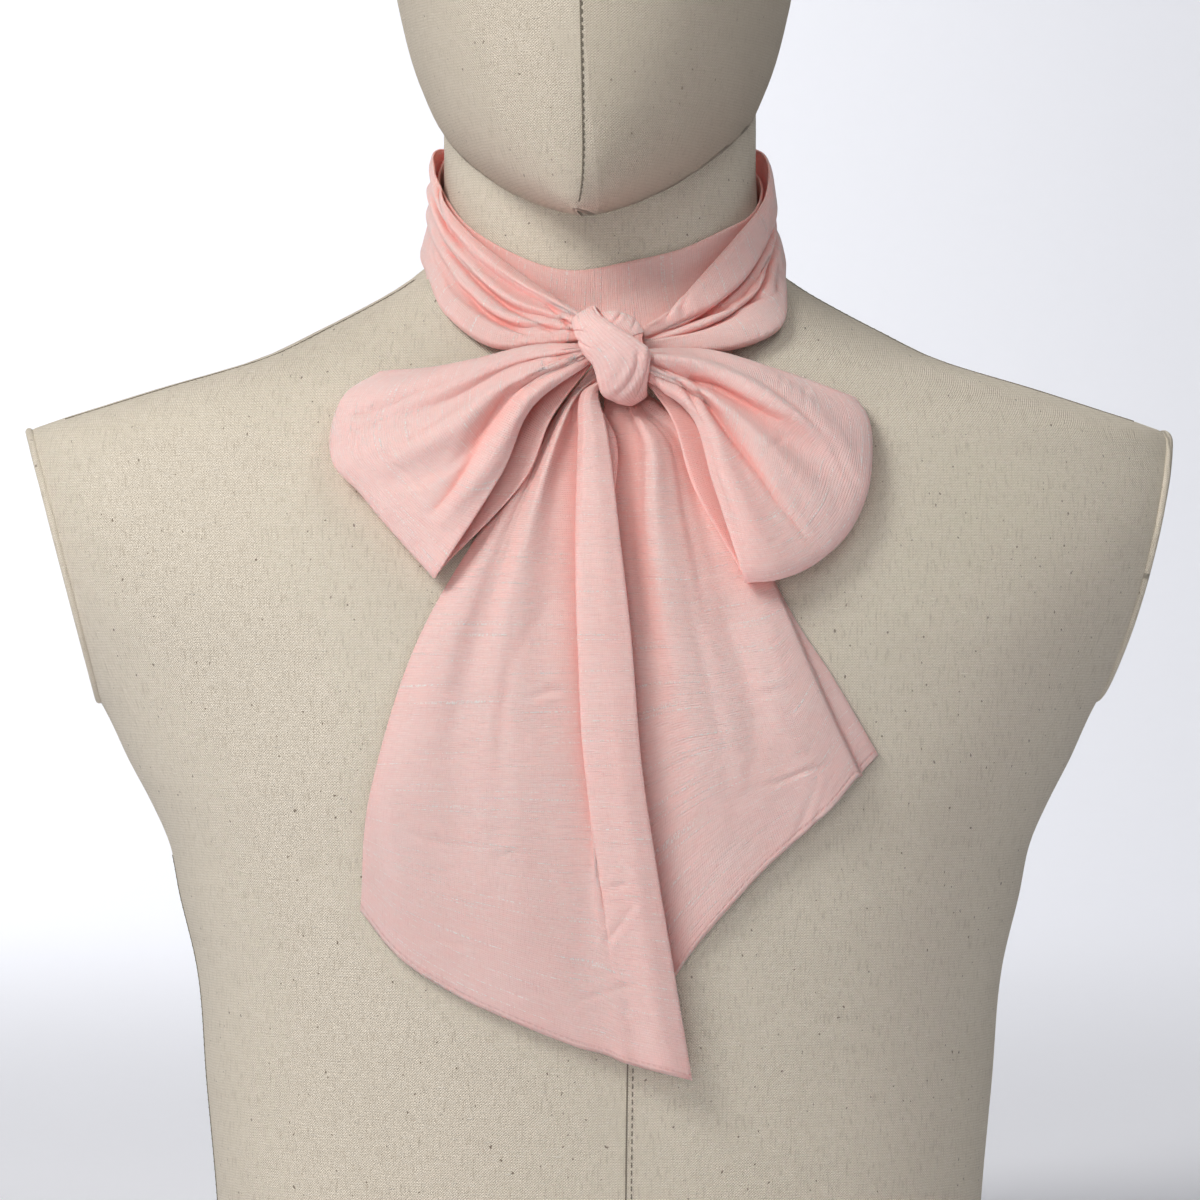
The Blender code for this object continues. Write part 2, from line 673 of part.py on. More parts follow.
# Folds across the band: place from -1 at its left to 1 at its right, height.
KNOT_FOLDS = [
    (-1.0, -1.5),
    (-0.78, 0.1),
    (-0.3, 1.2),
    (0.15, 1.5),
    (0.42, 0.9),
    (0.55, 0.0),
    (0.7, 0.6),
    (0.86, -0.2),
    (1.0, -1.4),
]
# The folds fade towards the band's back, and stand half as high round its ends.
KNOT_FOLDS_REACH = 0.35
KNOT_FOLDS_BEHIND = 0.15
KNOT_FOLDS_AT_ENDS = 0.5

# The turn of cloth behind the band's upper right edge, part of a rounded shell.
BACK_TURN_MIDDLE = 1.0
BACK_TURN_HALF = (14.2, 9.6, 15.6)
BACK_TURN_ALONG = (14.0, 64.0)
BACK_TURN_ROUND = (8.0, 118.0)


def in_knot(places):
    """Places from (along the bow, ahead of the knot's middle, up the band) triples."""
    places = np.asarray(places, float)
    local = np.stack([places[..., 0], -places[..., 1], places[..., 2]], axis=-1)
    x, z = turned(local[..., 0], local[..., 2], KNOT_TILT)
    return np.stack([KNOT_X + x, KNOT_Y + local[..., 1], KNOT_Z + z], axis=-1)


def knot_band(around, across):
    """The tight band of the knot as a ring of cloth, crowned between its edges."""
    table = np.array(KNOT_BAND_SECTIONS)
    places, heights = np.array(KNOT_FOLDS).T
    angle = np.linspace(0.0, 360.0, around, endpoint=False)[None, :]
    share = np.linspace(-1.0, 1.0, across)[:, None]
    half = np.interp(angle, table[:, 0], table[:, 1], period=360.0)
    middle = np.interp(angle, table[:, 0], table[:, 2], period=360.0)
    a = np.radians(angle)
    strength = np.clip(np.cos(a) + KNOT_FOLDS_REACH, KNOT_FOLDS_BEHIND, 1.0)
    out = np.interp(share, places, heights) * strength
    along = middle + half * share
    ahead = np.where(np.cos(a) > 0, KNOT_HALF_AHEAD + out, KNOT_HALF_BEHIND) * np.cos(a)
    up = (KNOT_HALF_LONG + KNOT_FOLDS_AT_ENDS * out) * np.sin(a)
    return in_knot(np.stack([along, ahead, up], axis=-1))


def knot_back_turn(around, across):
    """A patch of a rounded shell, tucked under the band's right edge."""
    along = np.radians(np.linspace(*BACK_TURN_ALONG, across))[:, None]
    a = np.radians(np.linspace(*BACK_TURN_ROUND, around))[None, :]
    half_along, half_ahead, half_up = BACK_TURN_HALF
    x = BACK_TURN_MIDDLE + half_along * np.sin(along) + 0 * a
    ahead = half_ahead * np.cos(along) * np.cos(a)
    up = half_up * np.cos(along) * np.sin(a)
    return in_knot(np.stack([x, ahead, up], axis=-1))


def knot_core(collection, finish):
    """The gathered cloth inside the knot, as one rounded solid that fills the band."""
    segments, rings = CORE_POINTS
    bpy.ops.mesh.primitive_uv_sphere_add(segments=segments, ring_count=rings, radius=1.0)
    core = bpy.context.object
    core.name = "knot_core"
    core.data.name = "knot_core"
    core.data.transform(Matrix.Diagonal((*[half * MM for half in KNOT_CORE], 1.0)))
    core.location = Vector((KNOT_X, KNOT_Y, KNOT_Z)) * MM
    core.rotation_euler = Euler((0.0, math.radians(-KNOT_TILT), 0.0))
    for other in core.users_collection:
        other.objects.unlink(core)
    return place(core, finish, collection)


def clear_scene():
    """Removes whatever the scene starts with."""
    for obj in list(bpy.data.objects):
        bpy.data.objects.remove(obj)


def main():
    clear_scene()
    parts = bpy.data.collections.new(COLLECTION)
    helpers = bpy.data.collections.new("cutters")
    for made in (parts, helpers):
        bpy.context.scene.collection.children.link(made)
    linen = material("form_linen", (0.56, 0.50, 0.41), 0.95)
    plastic = material("arm_plate_plastic", (0.82, 0.80, 0.76), 0.5)
    pink = material("pink_slub_cloth", (0.83, 0.52, 0.50), 0.8)
    dress_form(parts, helpers, linen, plastic)
    steps = (WRAP_STEP, WRAP_FOLD_STEP)
    cloth("throat_band", throat_band(THROAT_STEP, THROAT_LINES), pink, parts)
    cloth("left_wrap", strand(LEFT_WRAP_SECTIONS, LEFT_WRAP_FOLDS, *steps), pink, parts)
    cloth("right_wrap", strand(RIGHT_WRAP_SECTIONS, RIGHT_WRAP_FOLDS, *steps), pink, parts)
    cloth("knot_band", knot_band(*KNOT_BAND_POINTS), pink, parts, across_closed=True)
    knot_core(parts, pink)
    cloth("knot_back_turn", knot_back_turn(*BACK_TURN_POINTS), pink, parts)
    cloth("left_loop", draped(loop_lines(LEFT_LOOP), *LOOP_STEPS), pink, parts)
    cloth("right_loop", draped(loop_lines(RIGHT_LOOP), *LOOP_STEPS), pink, parts)
    cloth("front_tail", draped(tail_lines(FRONT_TAIL, True), *TAIL_STEPS), pink, parts)
    cloth("back_tail", draped(tail_lines(BACK_TAIL, False), *TAIL_STEPS), pink, parts)


main()
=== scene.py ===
"""The look of a pale pink cravat on a limbless, linen-covered dress form.

Sizes are in millimetres until they are written into a mesh. +Z is up, the form
faces -Y, and the origin is the centre of the foot that it stands on.
"""

import math

import bmesh
import bpy
import numpy as np
from mathutils import Matrix, Vector


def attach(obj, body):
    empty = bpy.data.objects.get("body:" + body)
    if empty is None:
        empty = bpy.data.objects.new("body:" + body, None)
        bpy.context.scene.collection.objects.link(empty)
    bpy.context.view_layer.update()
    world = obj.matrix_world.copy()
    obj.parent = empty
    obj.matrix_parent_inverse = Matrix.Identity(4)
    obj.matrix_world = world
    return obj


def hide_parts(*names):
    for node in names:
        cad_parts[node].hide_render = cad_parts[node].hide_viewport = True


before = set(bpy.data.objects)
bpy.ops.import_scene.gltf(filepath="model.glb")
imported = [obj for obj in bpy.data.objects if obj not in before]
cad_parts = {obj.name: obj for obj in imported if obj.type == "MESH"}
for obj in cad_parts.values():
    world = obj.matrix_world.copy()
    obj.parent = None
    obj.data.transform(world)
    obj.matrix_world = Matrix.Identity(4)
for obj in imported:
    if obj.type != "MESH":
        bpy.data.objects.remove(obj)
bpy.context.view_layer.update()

MM = 0.001
# The camera looks level along +Y from here.
CAMERA_Y = -2400.0
CAMERA_Z = 260.0

# The place at the throat that the bow and the tails are laid out from.
BOW_X = 6.0
BOW_Z = 347.5

# The form's torso stands turned a little to its left, its head to its right.
TORSO_TURN = 4.5
HEAD_TURN = -5.0
HEAD_X = -2.0
HEAD_Y = -13.0

# Torso and neck: height, half width, depth in front, depth behind, squareness.
TORSO = [
    (0.0, 141.0, 86.0, 78.0, 2.25),
    (35.0, 143.0, 90.0, 82.0, 2.25),
    (80.0, 147.0, 96.0, 89.0, 2.25),
    (125.0, 151.0, 104.0, 96.0, 2.3),
    (150.0, 157.0, 108.5, 100.0, 2.3),
    (170.0, 161.3, 111.0, 103.0, 2.3),
    (185.0, 168.0, 112.5, 105.0, 2.3),
    (200.0, 176.0, 113.5, 106.5, 2.25),
    (218.0, 184.5, 113.5, 108.0, 2.2),
    (235.0, 194.5, 112.5, 108.8, 2.15),
    (252.0, 206.0, 110.0, 109.0, 2.15),
    (272.0, 218.0, 105.5, 108.3, 2.1),
    (295.0, 225.0, 97.0, 105.0, 2.05),
    (312.0, 222.0, 89.0, 100.0, 2.0),
    (324.0, 211.0, 83.5, 96.0, 2.0),
    (331.0, 190.0, 80.0, 92.5, 2.0),
    (338.0, 168.0, 76.5, 89.0, 2.0),
    (350.0, 128.0, 69.0, 82.0, 2.0),
    (360.0, 102.0, 62.5, 77.0, 2.0),
    (370.0, 81.0, 57.5, 73.0, 2.0),
    (375.0, 74.0, 56.0, 71.4, 2.0),
    (380.0, 68.0, 55.0, 70.0, 2.0),
    (386.0, 64.0, 54.3, 68.4, 2.0),
    (393.0, 61.3, 54.0, 66.8, 2.0),
    (410.0, 59.0, 54.0, 64.0, 2.0),
    (440.0, 58.5, 55.0, 62.0, 2.0),
    (480.0, 58.5, 56.0, 62.0, 2.0),
]

# The head, a smooth egg with no face: height, half width, front, back, squareness.
HEAD = [
    (400.9, 1.5, 77.5, -72.0, 2.0),
    (401.5, 6.0, 80.0, -62.0, 2.0),
    (403.5, 14.5, 83.5, -44.0, 2.0),
    (409.0, 28.5, 88.0, -26.0, 2.0),
    (418.0, 42.0, 92.5, -6.0, 2.0),
    (432.0, 55.0, 97.0, 22.0, 2.0),
    (450.0, 64.0, 100.5, 50.0, 2.05),
    (478.0, 72.0, 102.5, 78.0, 2.1),
    (512.0, 77.0, 102.0, 95.0, 2.1),
    (548.0, 77.5, 97.0, 102.0, 2.1),
    (580.0, 71.0, 86.0, 97.0, 2.1),
    (604.0, 57.0, 68.0, 80.0, 2.05),
    (611.0, 49.5, 59.2, 70.0, 2.0),
    (617.0, 41.0, 48.8, 58.4, 2.0),
    (621.5, 31.5, 37.4, 44.8, 2.0),
    (624.5, 21.5, 25.5, 30.6, 2.0),
    (626.0, 12.0, 14.3, 17.0, 2.0),
    (626.5, 4.0, 4.8, 5.7, 2.0),
]

# The cut arm ends: the plane leans in towards the waist.
ARM_CUT_X = 212.5
ARM_CUT_Z = 320.0
ARM_CUT_LEAN = 14.6
ARM_POCKET_Z = 268.0
ARM_POCKET_TALL = 34.0
ARM_POCKET_WIDE = 32.0
ARM_POCKET_DEEP = 7.0
ARM_CUT_BOX = (60.0, 260.0, 260.0)
ARM_CUT_BOX_MIDDLE = (30.0, 0.0, -60.0)

def through(points, step):
    """A smooth curve through points along the first axis, cut about a step apart."""
    points = np.asarray(points, float)
    gaps = np.linalg.norm(np.diff(points, axis=0), axis=-1)
    gaps = gaps.reshape(len(gaps), -1).mean(1)
    knots = np.concatenate([[0.0], np.cumsum(np.sqrt(gaps))])
    slopes = np.gradient(points, knots, axis=0)
    curve = [points[:1]]
    for span, gap in enumerate(gaps):
        count = max(1, round(gap / step))
        width = knots[span + 1] - knots[span]
        t = np.linspace(0.0, 1.0, count + 1)[1:].reshape((count,) + (1,) * (points.ndim - 1))
        curve.append(
            (2 * t**3 - 3 * t**2 + 1) * points[span]
            + (t**3 - 2 * t**2 + t) * width * slopes[span]
            + (3 * t**2 - 2 * t**3) * points[span + 1]
            + (t**3 - t**2) * width * slopes[span + 1]
        )
    return np.concatenate(curve)


def column(table, height, number):
    """A column of a section table at any height, on a smooth curve through its rows."""
    rows = np.array(table)
    slopes = np.gradient(rows[:, number], rows[:, 0])
    height = np.clip(height, rows[0, 0], rows[-1, 0])
    span = np.clip(np.searchsorted(rows[:, 0], height, side="right") - 1, 0, len(rows) - 2)
    width = rows[span + 1, 0] - rows[span, 0]
    t = (height - rows[span, 0]) / width
    return (
        (2 * t**3 - 3 * t**2 + 1) * rows[span, number]
        + (t**3 - 2 * t**2 + t) * width * slopes[span]
        + (3 * t**2 - 2 * t**3) * rows[span + 1, number]
        + (t**3 - t**2) * width * slopes[span + 1]
    )


def turned(x, y, degrees):
    """The point (x, y) turned about the vertical axis."""
    c, s = math.cos(math.radians(degrees)), math.sin(math.radians(degrees))
    return c * x - s * y, s * x + c * y


def section_point(table, angle, height, out=0.0):
    """A point of a section, by its angle from the front, positive to the viewer's right."""
    wide = column(table, height, 1) + out
    front = column(table, height, 2) + out
    back = column(table, height, 3) + out
    power = 2.0 / column(table, height, 4)
    s, c = np.sin(angle), np.cos(angle)
    x = wide * np.sign(s) * np.abs(s) ** power
    y = -np.sign(c) * np.abs(c) ** power * np.where(c > 0, front, back)
    return x, y


def neck_point(degrees, height, out):
    """A point held off the neck's surface, in a direction from the front round the neck."""
    wide = column(TORSO, height, 1) + out
    front = column(TORSO, height, 2) + out
    back = column(TORSO, height, 3) + out
    s, c = np.sin(np.radians(degrees)), np.cos(np.radians(degrees))
    reach = 1.0 / np.hypot(s / wide, c / np.where(c > 0, front, back))
    x, y = turned(reach * s, -reach * c, TORSO_TURN)
    return np.stack([x, y, height + 0 * x], axis=-1)


def chest_front(x, height):
    """How far forward the torso's front lies at this place, as a Y."""
    wide = column(TORSO, height, 1)
    front = column(TORSO, height, 2)
    power = column(TORSO, height, 4)
    c, s = math.cos(math.radians(TORSO_TURN)), math.sin(math.radians(TORSO_TURN))
    y = -front
    for _ in range(8):
        own_x = np.clip(np.abs(c * x + s * y) / wide, 0.0, 0.98)
        own_y = -front * (1.0 - own_x**power) ** (1.0 / power)
        y = (own_y + s * x) / c
    return y


def on_chest(rows):
    """Points from (right of the knot, below the knot, off the chest) triples."""
    rows = np.asarray(rows, float)
    x = BOW_X + rows[..., 0]
    z = BOW_Z - rows[..., 1]
    return np.stack([x, chest_front(x, z) - rows[..., 2], z], axis=-1)


def off_chest(points):
    """The (right, below, off the chest) triples of points."""
    x, y, z = points[..., 0], points[..., 1], points[..., 2]
    return np.stack([x - BOW_X, BOW_Z - z, chest_front(x, z) - y], axis=-1)

# The band across the throat, the scarf's middle, out to where each end turns over
# the other at the nape: angle from the front, top, bottom, off the neck.
THROAT_SECTIONS = [
    (-157.0, 438.0, 411.0, 4.6),
    (-150.0, 437.5, 410.5, 2.8),
    (-140.0, 436.0, 409.0, 1.8),
    (-122.0, 431.0, 399.0, 1.6),
    (-90.0, 417.0, 389.0, 2.0),
    (-55.0, 398.0, 369.0, 2.0),
    (-28.0, 386.5, 356.5, 1.6),
    (0.0, 382.0, 352.0, 1.6),
    (28.0, 386.0, 356.5, 1.6),
    (55.0, 398.0, 369.0, 2.0),
    (90.0, 417.0, 389.0, 2.0),
    (122.0, 431.0, 399.0, 1.6),
    (140.0, 436.0, 409.0, 1.8),
    (150.0, 437.5, 410.5, 2.8),
    (157.0, 438.0, 411.0, 4.6),
]

# The strand from the nape round the viewer's left side to the knot:
# angle from the front, top, bottom, off the neck, height of its folds.
LEFT_WRAP_SECTIONS = [
    (-8.0, 362.5, 354.5, 17.0, 0.4),
    (-19.0, 371.0, 352.5, 12.8, 1.2),
    (-32.0, 380.0, 351.8, 8.4, 2.0),
    (-48.0, 391.5, 363.5, 7.6, 1.5),
    (-66.0, 405.0, 379.0, 6.4, 0.9),
    (-90.0, 424.0, 389.0, 4.8, 0.6),
    (-120.0, 430.0, 390.5, 4.8, 0.6),
    (-140.0, 418.0, 384.0, 5.6, 1.0),
    (-150.0, 407.5, 382.0, 5.0, 0.7),
    (-160.0, 407.0, 382.0, 3.6, 0.5),
    (-180.0, 416.0, 391.0, 2.6, 0.3),
    (-195.0, 431.0, 405.0, 3.2, 0.3),
    (-202.6, 438.0, 411.0, 4.6, 0.1),
]
# Its folds from top to bottom: place across the strand, height as a share.
LEFT_WRAP_FOLDS = [
    (0.0, -0.8),
    (0.1, 0.9),
    (0.22, -0.7),
    (0.34, 1.0),
    (0.46, -0.8),
    (0.57, 0.8),
    (0.68, -0.9),
    (0.8, 0.9),
    (0.9, 0.6),
    (1.0, -0.9),
]

# The strand round the viewer's right side, which crosses over the other at the nape.
RIGHT_WRAP_SECTIONS = [
    (6.5, 358.5, 350.5, 17.0, 0.3),
    (14.0, 364.0, 350.5, 14.0, 0.5),
    (28.0, 377.0, 350.5, 9.6, 2.4),
    (46.0, 393.0, 358.5, 8.0, 2.6),
    (66.0, 408.0, 378.5, 7.0, 1.8),
    (90.0, 425.0, 389.0, 5.2, 1.0),
    (120.0, 431.0, 390.5, 5.2, 0.9),
    (140.0, 419.0, 384.0, 5.8, 1.0),
    (150.0, 408.0, 381.5, 5.6, 0.8),
    (160.0, 407.0, 381.0, 5.8, 0.7),
    (180.0, 415.0, 388.0, 6.4, 0.7),
    (195.0, 431.0, 404.0, 5.8, 0.5),
    (202.6, 438.0, 411.0, 4.6, 0.1),
]
RIGHT_WRAP_FOLDS = [
    (0.0, -0.4),
    (0.12, 0.6),
    (0.3, 0.7),
    (0.46, -1.2),
    (0.56, 0.5),
    (0.64, -0.9),
    (0.76, 0.9),
    (0.9, 0.6),
    (1.0, -0.8),
]


def strand(sections, folds, along, across):
    """A wound strand: a band between top and bottom lines, with folds along it."""
    angle, top, bottom, out, high = (values[:, None] for values in through(sections, along).T)
    share, ripple = through(folds, across).T
    height = top + (bottom - top) * share
    return neck_point(angle + 0 * height, height, out + high * ripple)


# The inner band's upper edge rises to the viewer's right and waves a little, in mm.
BAND_TILT = 4.6
BAND_WAVE = 0.45


def throat_band(along, across):
    """The inner band, close round the neck and plain."""
    angle, top, bottom, out = (values[:, None] for values in through(THROAT_SECTIONS, along).T)
    turn = np.radians(angle)
    top = top + BAND_TILT * np.sin(2.4 * turn) * np.exp(-((angle / 60.0) ** 2))
    top = top + BAND_WAVE * np.sin(9.0 * turn + 1.0)
    share = np.linspace(0.0, 1.0, across)
    height = top + (bottom - top) * share
    return neck_point(angle + 0 * height, height, out + 0 * height)


# Tails and loops are laid out by the lines of their folds, in order across the cloth.
# Each line starts where it goes under the knot's band: along the bow, ahead of the
# knot's middle, up the band. Its other places are right of the throat, below it and
# off the chest. Where the cloth turns back on itself, the first two numbers say to
# which side the fold lies and whether the cloth goes up or down round it.
FOLD_RADIUS = 1.3
FOLD_RADIUS_AT_KNOT = 0.8
FOLD_OPENING = 0.35
FOLD_OPENED = 2.4
FLAT = (0, 0)
FRONT_TAIL = [
    # left edge
    (
        FLAT, (-6.2, 0.6, 0.8),
        (-16.6, 13.5, 8), (-25.8, 27, 2.4), (-46.5, 59, 2.2), (-71, 102, 2.2),
        (-87, 152, 2.2), (-92, 199, 2.2),
    ),
    # soft ridge
    (
        FLAT, (-6.4, 0.8, -0.5),
        (-16, 13.5, 9.6), (-24.3, 27, 5.5), (-41.9, 59, 6.4), (-61.6, 102, 6.5),
        (-74.8, 152, 5.5), (-77.7, 216, 4),
    ),
    # soft hollow
    (
        FLAT, (-6.6, 0.7, -1.8),
        (-15.4, 13.6, 9.6), (-22.9, 27.5, 5.8), (-36.5, 60, 5), (-49.8, 102, 4.6),
        (-58, 152, 4.4), (-58, 229, 3.2),
    ),
    # ridge
    (
        FLAT, (-6.8, 0.9, -3.1),
        (-14.6, 13.6, 12.8), (-21.5, 28, 12), (-31.1, 60, 9.6), (-39, 102, 8),
        (-41.9, 152, 6.5), (-36.5, 239, 4.6),
    ),
    # hollow beside the centre pleat
    (
        FLAT, (-7.0, 0.6, -4.5),
        (-13, 13.8, 10.4), (-17.5, 29, 6.2), (-21.8, 61, 4.8), (-24, 102, 4.8),
        (-24.7, 152, 4.8), (-16.8, 247, 4.2),
    ),
    # turn under the centre pleat
    (
        (1, 1), (-5.8, 3.0, -6.4),
        (-7.6, 14, 11.6), (-0.5, 30, 7.4), (-2.2, 61, 6.4), (-1.8, 102, 6.2),
        (-7.5, 152, 5.6), (-5, 250.5, 5.0),
    ),
    # left fold of the centre pleat
    (
        (-1, 1), (-9.0, 4.8, -5.6),
        (-12.6, 13.6, 14.6), (-13.6, 29, 12.2), (-14.3, 61, 10.6), (-13.6, 102, 9.8),
        (-10.7, 152, 7.8), (5, 254.2, 6.6),
    ),
    # middle of the centre pleat
    (
        FLAT, (-7.4, 6.4, -5.8),
        (-9.6, 13, 17.2), (-8.6, 28, 15.5), (-6.4, 61, 14), (-3.4, 102, 12.5),
        (0.5, 152, 11.6), (17.5, 257.4, 10.4),
    ),
    # right edge and the point of the hem
    (
        FLAT, (-5.8, 6.2, -6.6),
        (-6.8, 12.4, 15.6), (-3.6, 27.5, 14), (0.4, 61, 12.4), (5, 102, 11.2),
        (9.3, 152, 10), (26.9, 260, 8.4),
    ),
]

# The back tail comes out from behind the knot, so its lines start on the chest.
BACK_TAIL = [
    # left edge, behind the front tail
    (
        FLAT, (-4, 11.5, 2.0),
        (-4.5, 19.5, 3.6), (-7, 33, 1.3), (-10.5, 59, 1.3), (-11.4, 95, 1.3),
        (-9.6, 145, 1.3), (-2.5, 243, 1.3),
    ),
    (
        FLAT, (-0.5, 12, 2.1),
        (0.2, 19.5, 4.4), (1.4, 32, 1.6), (1.2, 59, 1.3), (4.6, 95, 1.3), (8.2, 145, 1.4), (15.4, 230, 1.6),
    ),
    # deep hollow in the shade of the centre pleat
    (
        FLAT, (3, 13.5, 2.1),
        (4.2, 19.5, 4.4), (7.5, 31.5, 3.0), (7.5, 59, 2.4), (11.4, 95, 2.4),
        (19, 141, 2.4), (27.5, 213, 2.4),
    ),
    # sharp ridge
    (
        FLAT, (4, 13.5, 2.2),
        (6.0, 19.5, 6.6), (11.8, 31, 10.5), (13.2, 59, 9.2), (17.8, 95, 6.6),
        (28, 138, 4.6), (40, 198, 3.6),
    ),
    (
        FLAT, (5.4, 13.5, 2.2),
        (8.0, 19.5, 6.4), (16.4, 30.4, 8), (21.4, 59, 7), (28.6, 95, 5.4), (39, 136, 4.6), (53, 184, 4),
    ),
    # hollow
    (
        FLAT, (6.8, 13.5, 2.2),
        (10.4, 19.3, 5.4), (21.5, 29.6, 4.4), (30, 57, 4), (39.6, 93, 4),
        (51.8, 133, 4.2), (67.5, 171, 4.6),
    ),
    # ridge
    (
        FLAT, (8.2, 13.5, 2.2),
        (13, 18.6, 6.2), (25, 29, 6.6), (37.5, 56, 6.8), (51, 91, 7), (64.3, 131, 6.8), (79, 160, 6),
    ),
    # right fold
    (
        (1, -1), (9.6, 13.5, 2.2),
        (16.4, 17.6, 4.6), (28.6, 28, 4.6), (44, 54.6, 4.6), (59.6, 88, 4.8),
        (73.2, 119.6, 4.8), (88, 151, 4.6),
    ),
    # right edge and the corner of the hem
    (
        FLAT, (11, 13.5, 2.0),
        (16.6, 16.8, 1.6), (28, 28, 1.3), (43.4, 54.6, 1.3), (60.7, 89, 1.3),
        (77.5, 115.4, 1.3), (94, 143.5, 1.3),
    ),
]

# A loop's lines: where it goes under the band, then near, middle and far places over
# its front. The ply behind returns on the same line, held off the chest at the far
# turn, the middle and near the knot, and moved over to the right and down.
LEFT_LOOP = [
    # top edge
    [(-6.4, 4.4, 8.8), (-31, -4.4, 15), (-61.6, 3.0, 13), (-85.6, 4.7, 7), (3.2, 3.0, 5), (0, 0)],
    # ridge
    [(-6.4, 5.2, 7.7), (-34, -1.2, 21), (-65, 10, 20), (-98, 13.2, 9), (3.2, 3.0, 5), (0, 0)],
    # hollow
    [(-6.4, 4.8, 6.6), (-36.5, 3.8, 19), (-68, 19, 17.5), (-103, 27, 9), (2.8, 3.0, 5), (0, 0)],
    # ridge
    [(-6.4, 5.4, 5.5), (-37.5, 9, 24), (-66.5, 29, 23.5), (-101.5, 38.4, 9.6), (2.6, 2.8, 6), (0.5, 0)],
    # hollow
    [(-6.4, 4.8, 4.4), (-34.7, 12, 19), (-58.4, 38.4, 18), (-92.6, 48.2, 9), (2.6, 3.6, 7), (1.5, 0.5)],
    # ridge
    [(-6.4, 5.4, 3.3), (-31, 14.4, 22.6), (-50, 44.3, 20.5), (-78.6, 64.5, 9), (3.4, 6.6, 10), (3.5, 1.5)],
    # lower edge
    [(-6.4, 4.8, 2.2), (-30.2, 17.6, 19.4), (-41.5, 42.6, 17.5), (-65.2, 79.6, 8.6), (4.6, 8.6, 12), (7, 3.5)],
]

RIGHT_LOOP = [
    # top edge
    [(9.0, 6.2, -3.6), (29.6, -3.4, 14), (57.6, 3.4, 11), (87, 14, 6.4), (3.2, 2.8, 5), (0, 3.5)],
    [(9.2, 6.6, -5.0), (31.4, -1.2, 16), (61.4, 8.8, 15), (91.4, 21.6, 8), (3.0, 2.8, 5.5), (0, 2.5)],
    # ridge
    [(9.2, 6.8, -6.4), (34.6, 4, 23), (62, 17.6, 24), (92.4, 36, 9.6), (2.6, 2.8, 7), (0, 1)],
    # hollow
    [(8.8, 6.2, -7.8), (32, 10, 16.5), (54.8, 24.8, 17.5), (89.4, 51, 9.4), (2.6, 4, 9), (0, 0)],
    # ridge
    [(8.2, 6.2, -9.2), (32.6, 13.4, 21), (55.4, 33.4, 23.5), (82.6, 63.8, 9.4), (3.2, 6, 10), (-1, 0.4)],
    # crease
    [(7.4, 5.2, -10.6), (32.4, 17, 16.8), (51.2, 45.6, 18), (70.2, 74.6, 10), (5.4, 8.4, 10.6), (-2, 0.8)],
    # ridge of the lower lobe
    [(6.4, 4.6, -12.0), (30.4, 20.4, 21), (43.4, 49, 21.5), (57.6, 80, 12.6), (8.4, 9.4, 10.8), (-4, 1.4)],
    # lower edge
    [(5.4, 3.6, -13.4), (26.8, 20.6, 18), (34.6, 45.6, 18.4), (46, 81, 12.4), (9.2, 10.2, 11.2), (-6.5, 2.0)],
]

LOOP_END_ROUND = 3.5
ROOT_PLIES_APART = 5.0


def loop_lines(rows):
    """Closes each line of a loop: out over the front, round the far fold, and back."""
    lines = []
    for root, near, middle, far, behind, (right, down) in rows:
        near, middle, far = (np.array(place, float) for place in (near, middle, far))
        turn_off, middle_off, near_off = behind
        inward = (middle[:2] - far[:2]) / np.linalg.norm(middle[:2] - far[:2]) * LOOP_END_ROUND
        front_turn = [*(far[:2] + inward), far[2] + LOOP_END_ROUND]
        back_turn = [*(far[:2] + inward), turn_off]
        back_middle = [middle[0] + right, middle[1] + down, middle_off]
        back_near = [near[0] + right, near[1] + down, near_off]
        along, ahead, up = root
        front_root, back_root = off_chest(in_knot([root, (along, ahead - ROOT_PLIES_APART, up)]))
        lines.append(
            [front_root, near, middle, front_turn, far, back_turn, back_middle, back_near, back_root]
        )
    return np.array(lines)


def tail_lines(rows, from_knot, opens=False):
    """The lines of a tail, with three close lines where it turns back on itself. A tail
    that opens has its folds opened out flat at the hem."""
    starts = [off_chest(in_knot(row[1])) if from_knot else np.array(row[1], float) for row in rows]
    # At the knot a fold is tight, and behind it the fold opens out flat.
    radius, opening = (FOLD_RADIUS_AT_KNOT, 0.0) if from_knot else (0.0, FOLD_OPENING)
    lines = []
    for i, ((side, rise), _, *places) in enumerate(rows):
        for step in ((-1, 0, 1) if side else (0,)):
            fold = np.array([-side * abs(step), 0.0, rise * step])
            start = starts[i] + fold * radius + (starts[i + step] - starts[i]) * opening
            folds = np.tile(fold * FOLD_RADIUS, (len(places), 1))
            if opens:
                folds[-1] = (step * FOLD_OPENED, step * FOLD_OPENED * 0.3, 0.0)
            lines.append(np.concatenate([[start], places + folds]))
    return np.array(lines)


def draped(lines, across, along):
    """A cloth surface on the chest through its fold lines."""
    surface = through(lines, across)
    return on_chest(through(np.swapaxes(surface, 0, 1), along))


# The knot: a band round the bow's middle, tilted as it was pulled tight.
KNOT_X = 4.5
KNOT_Y = -88.0
KNOT_Z = 348.3
KNOT_TILT = 32.0
KNOT_HALF_LONG = 18.8
KNOT_HALF_AHEAD = 12.0
KNOT_HALF_BEHIND = 8.6
KNOT_CORE = (5.2, 7.4, 15.4)

# The turn of cloth behind the band's upper right edge, part of a rounded shell.
BACK_TURN_MIDDLE = 1.0
BACK_TURN_HALF = (14.2, 9.6, 15.6)
BACK_TURN_ALONG = (14.0, 64.0)
BACK_TURN_ROUND = (8.0, 118.0)


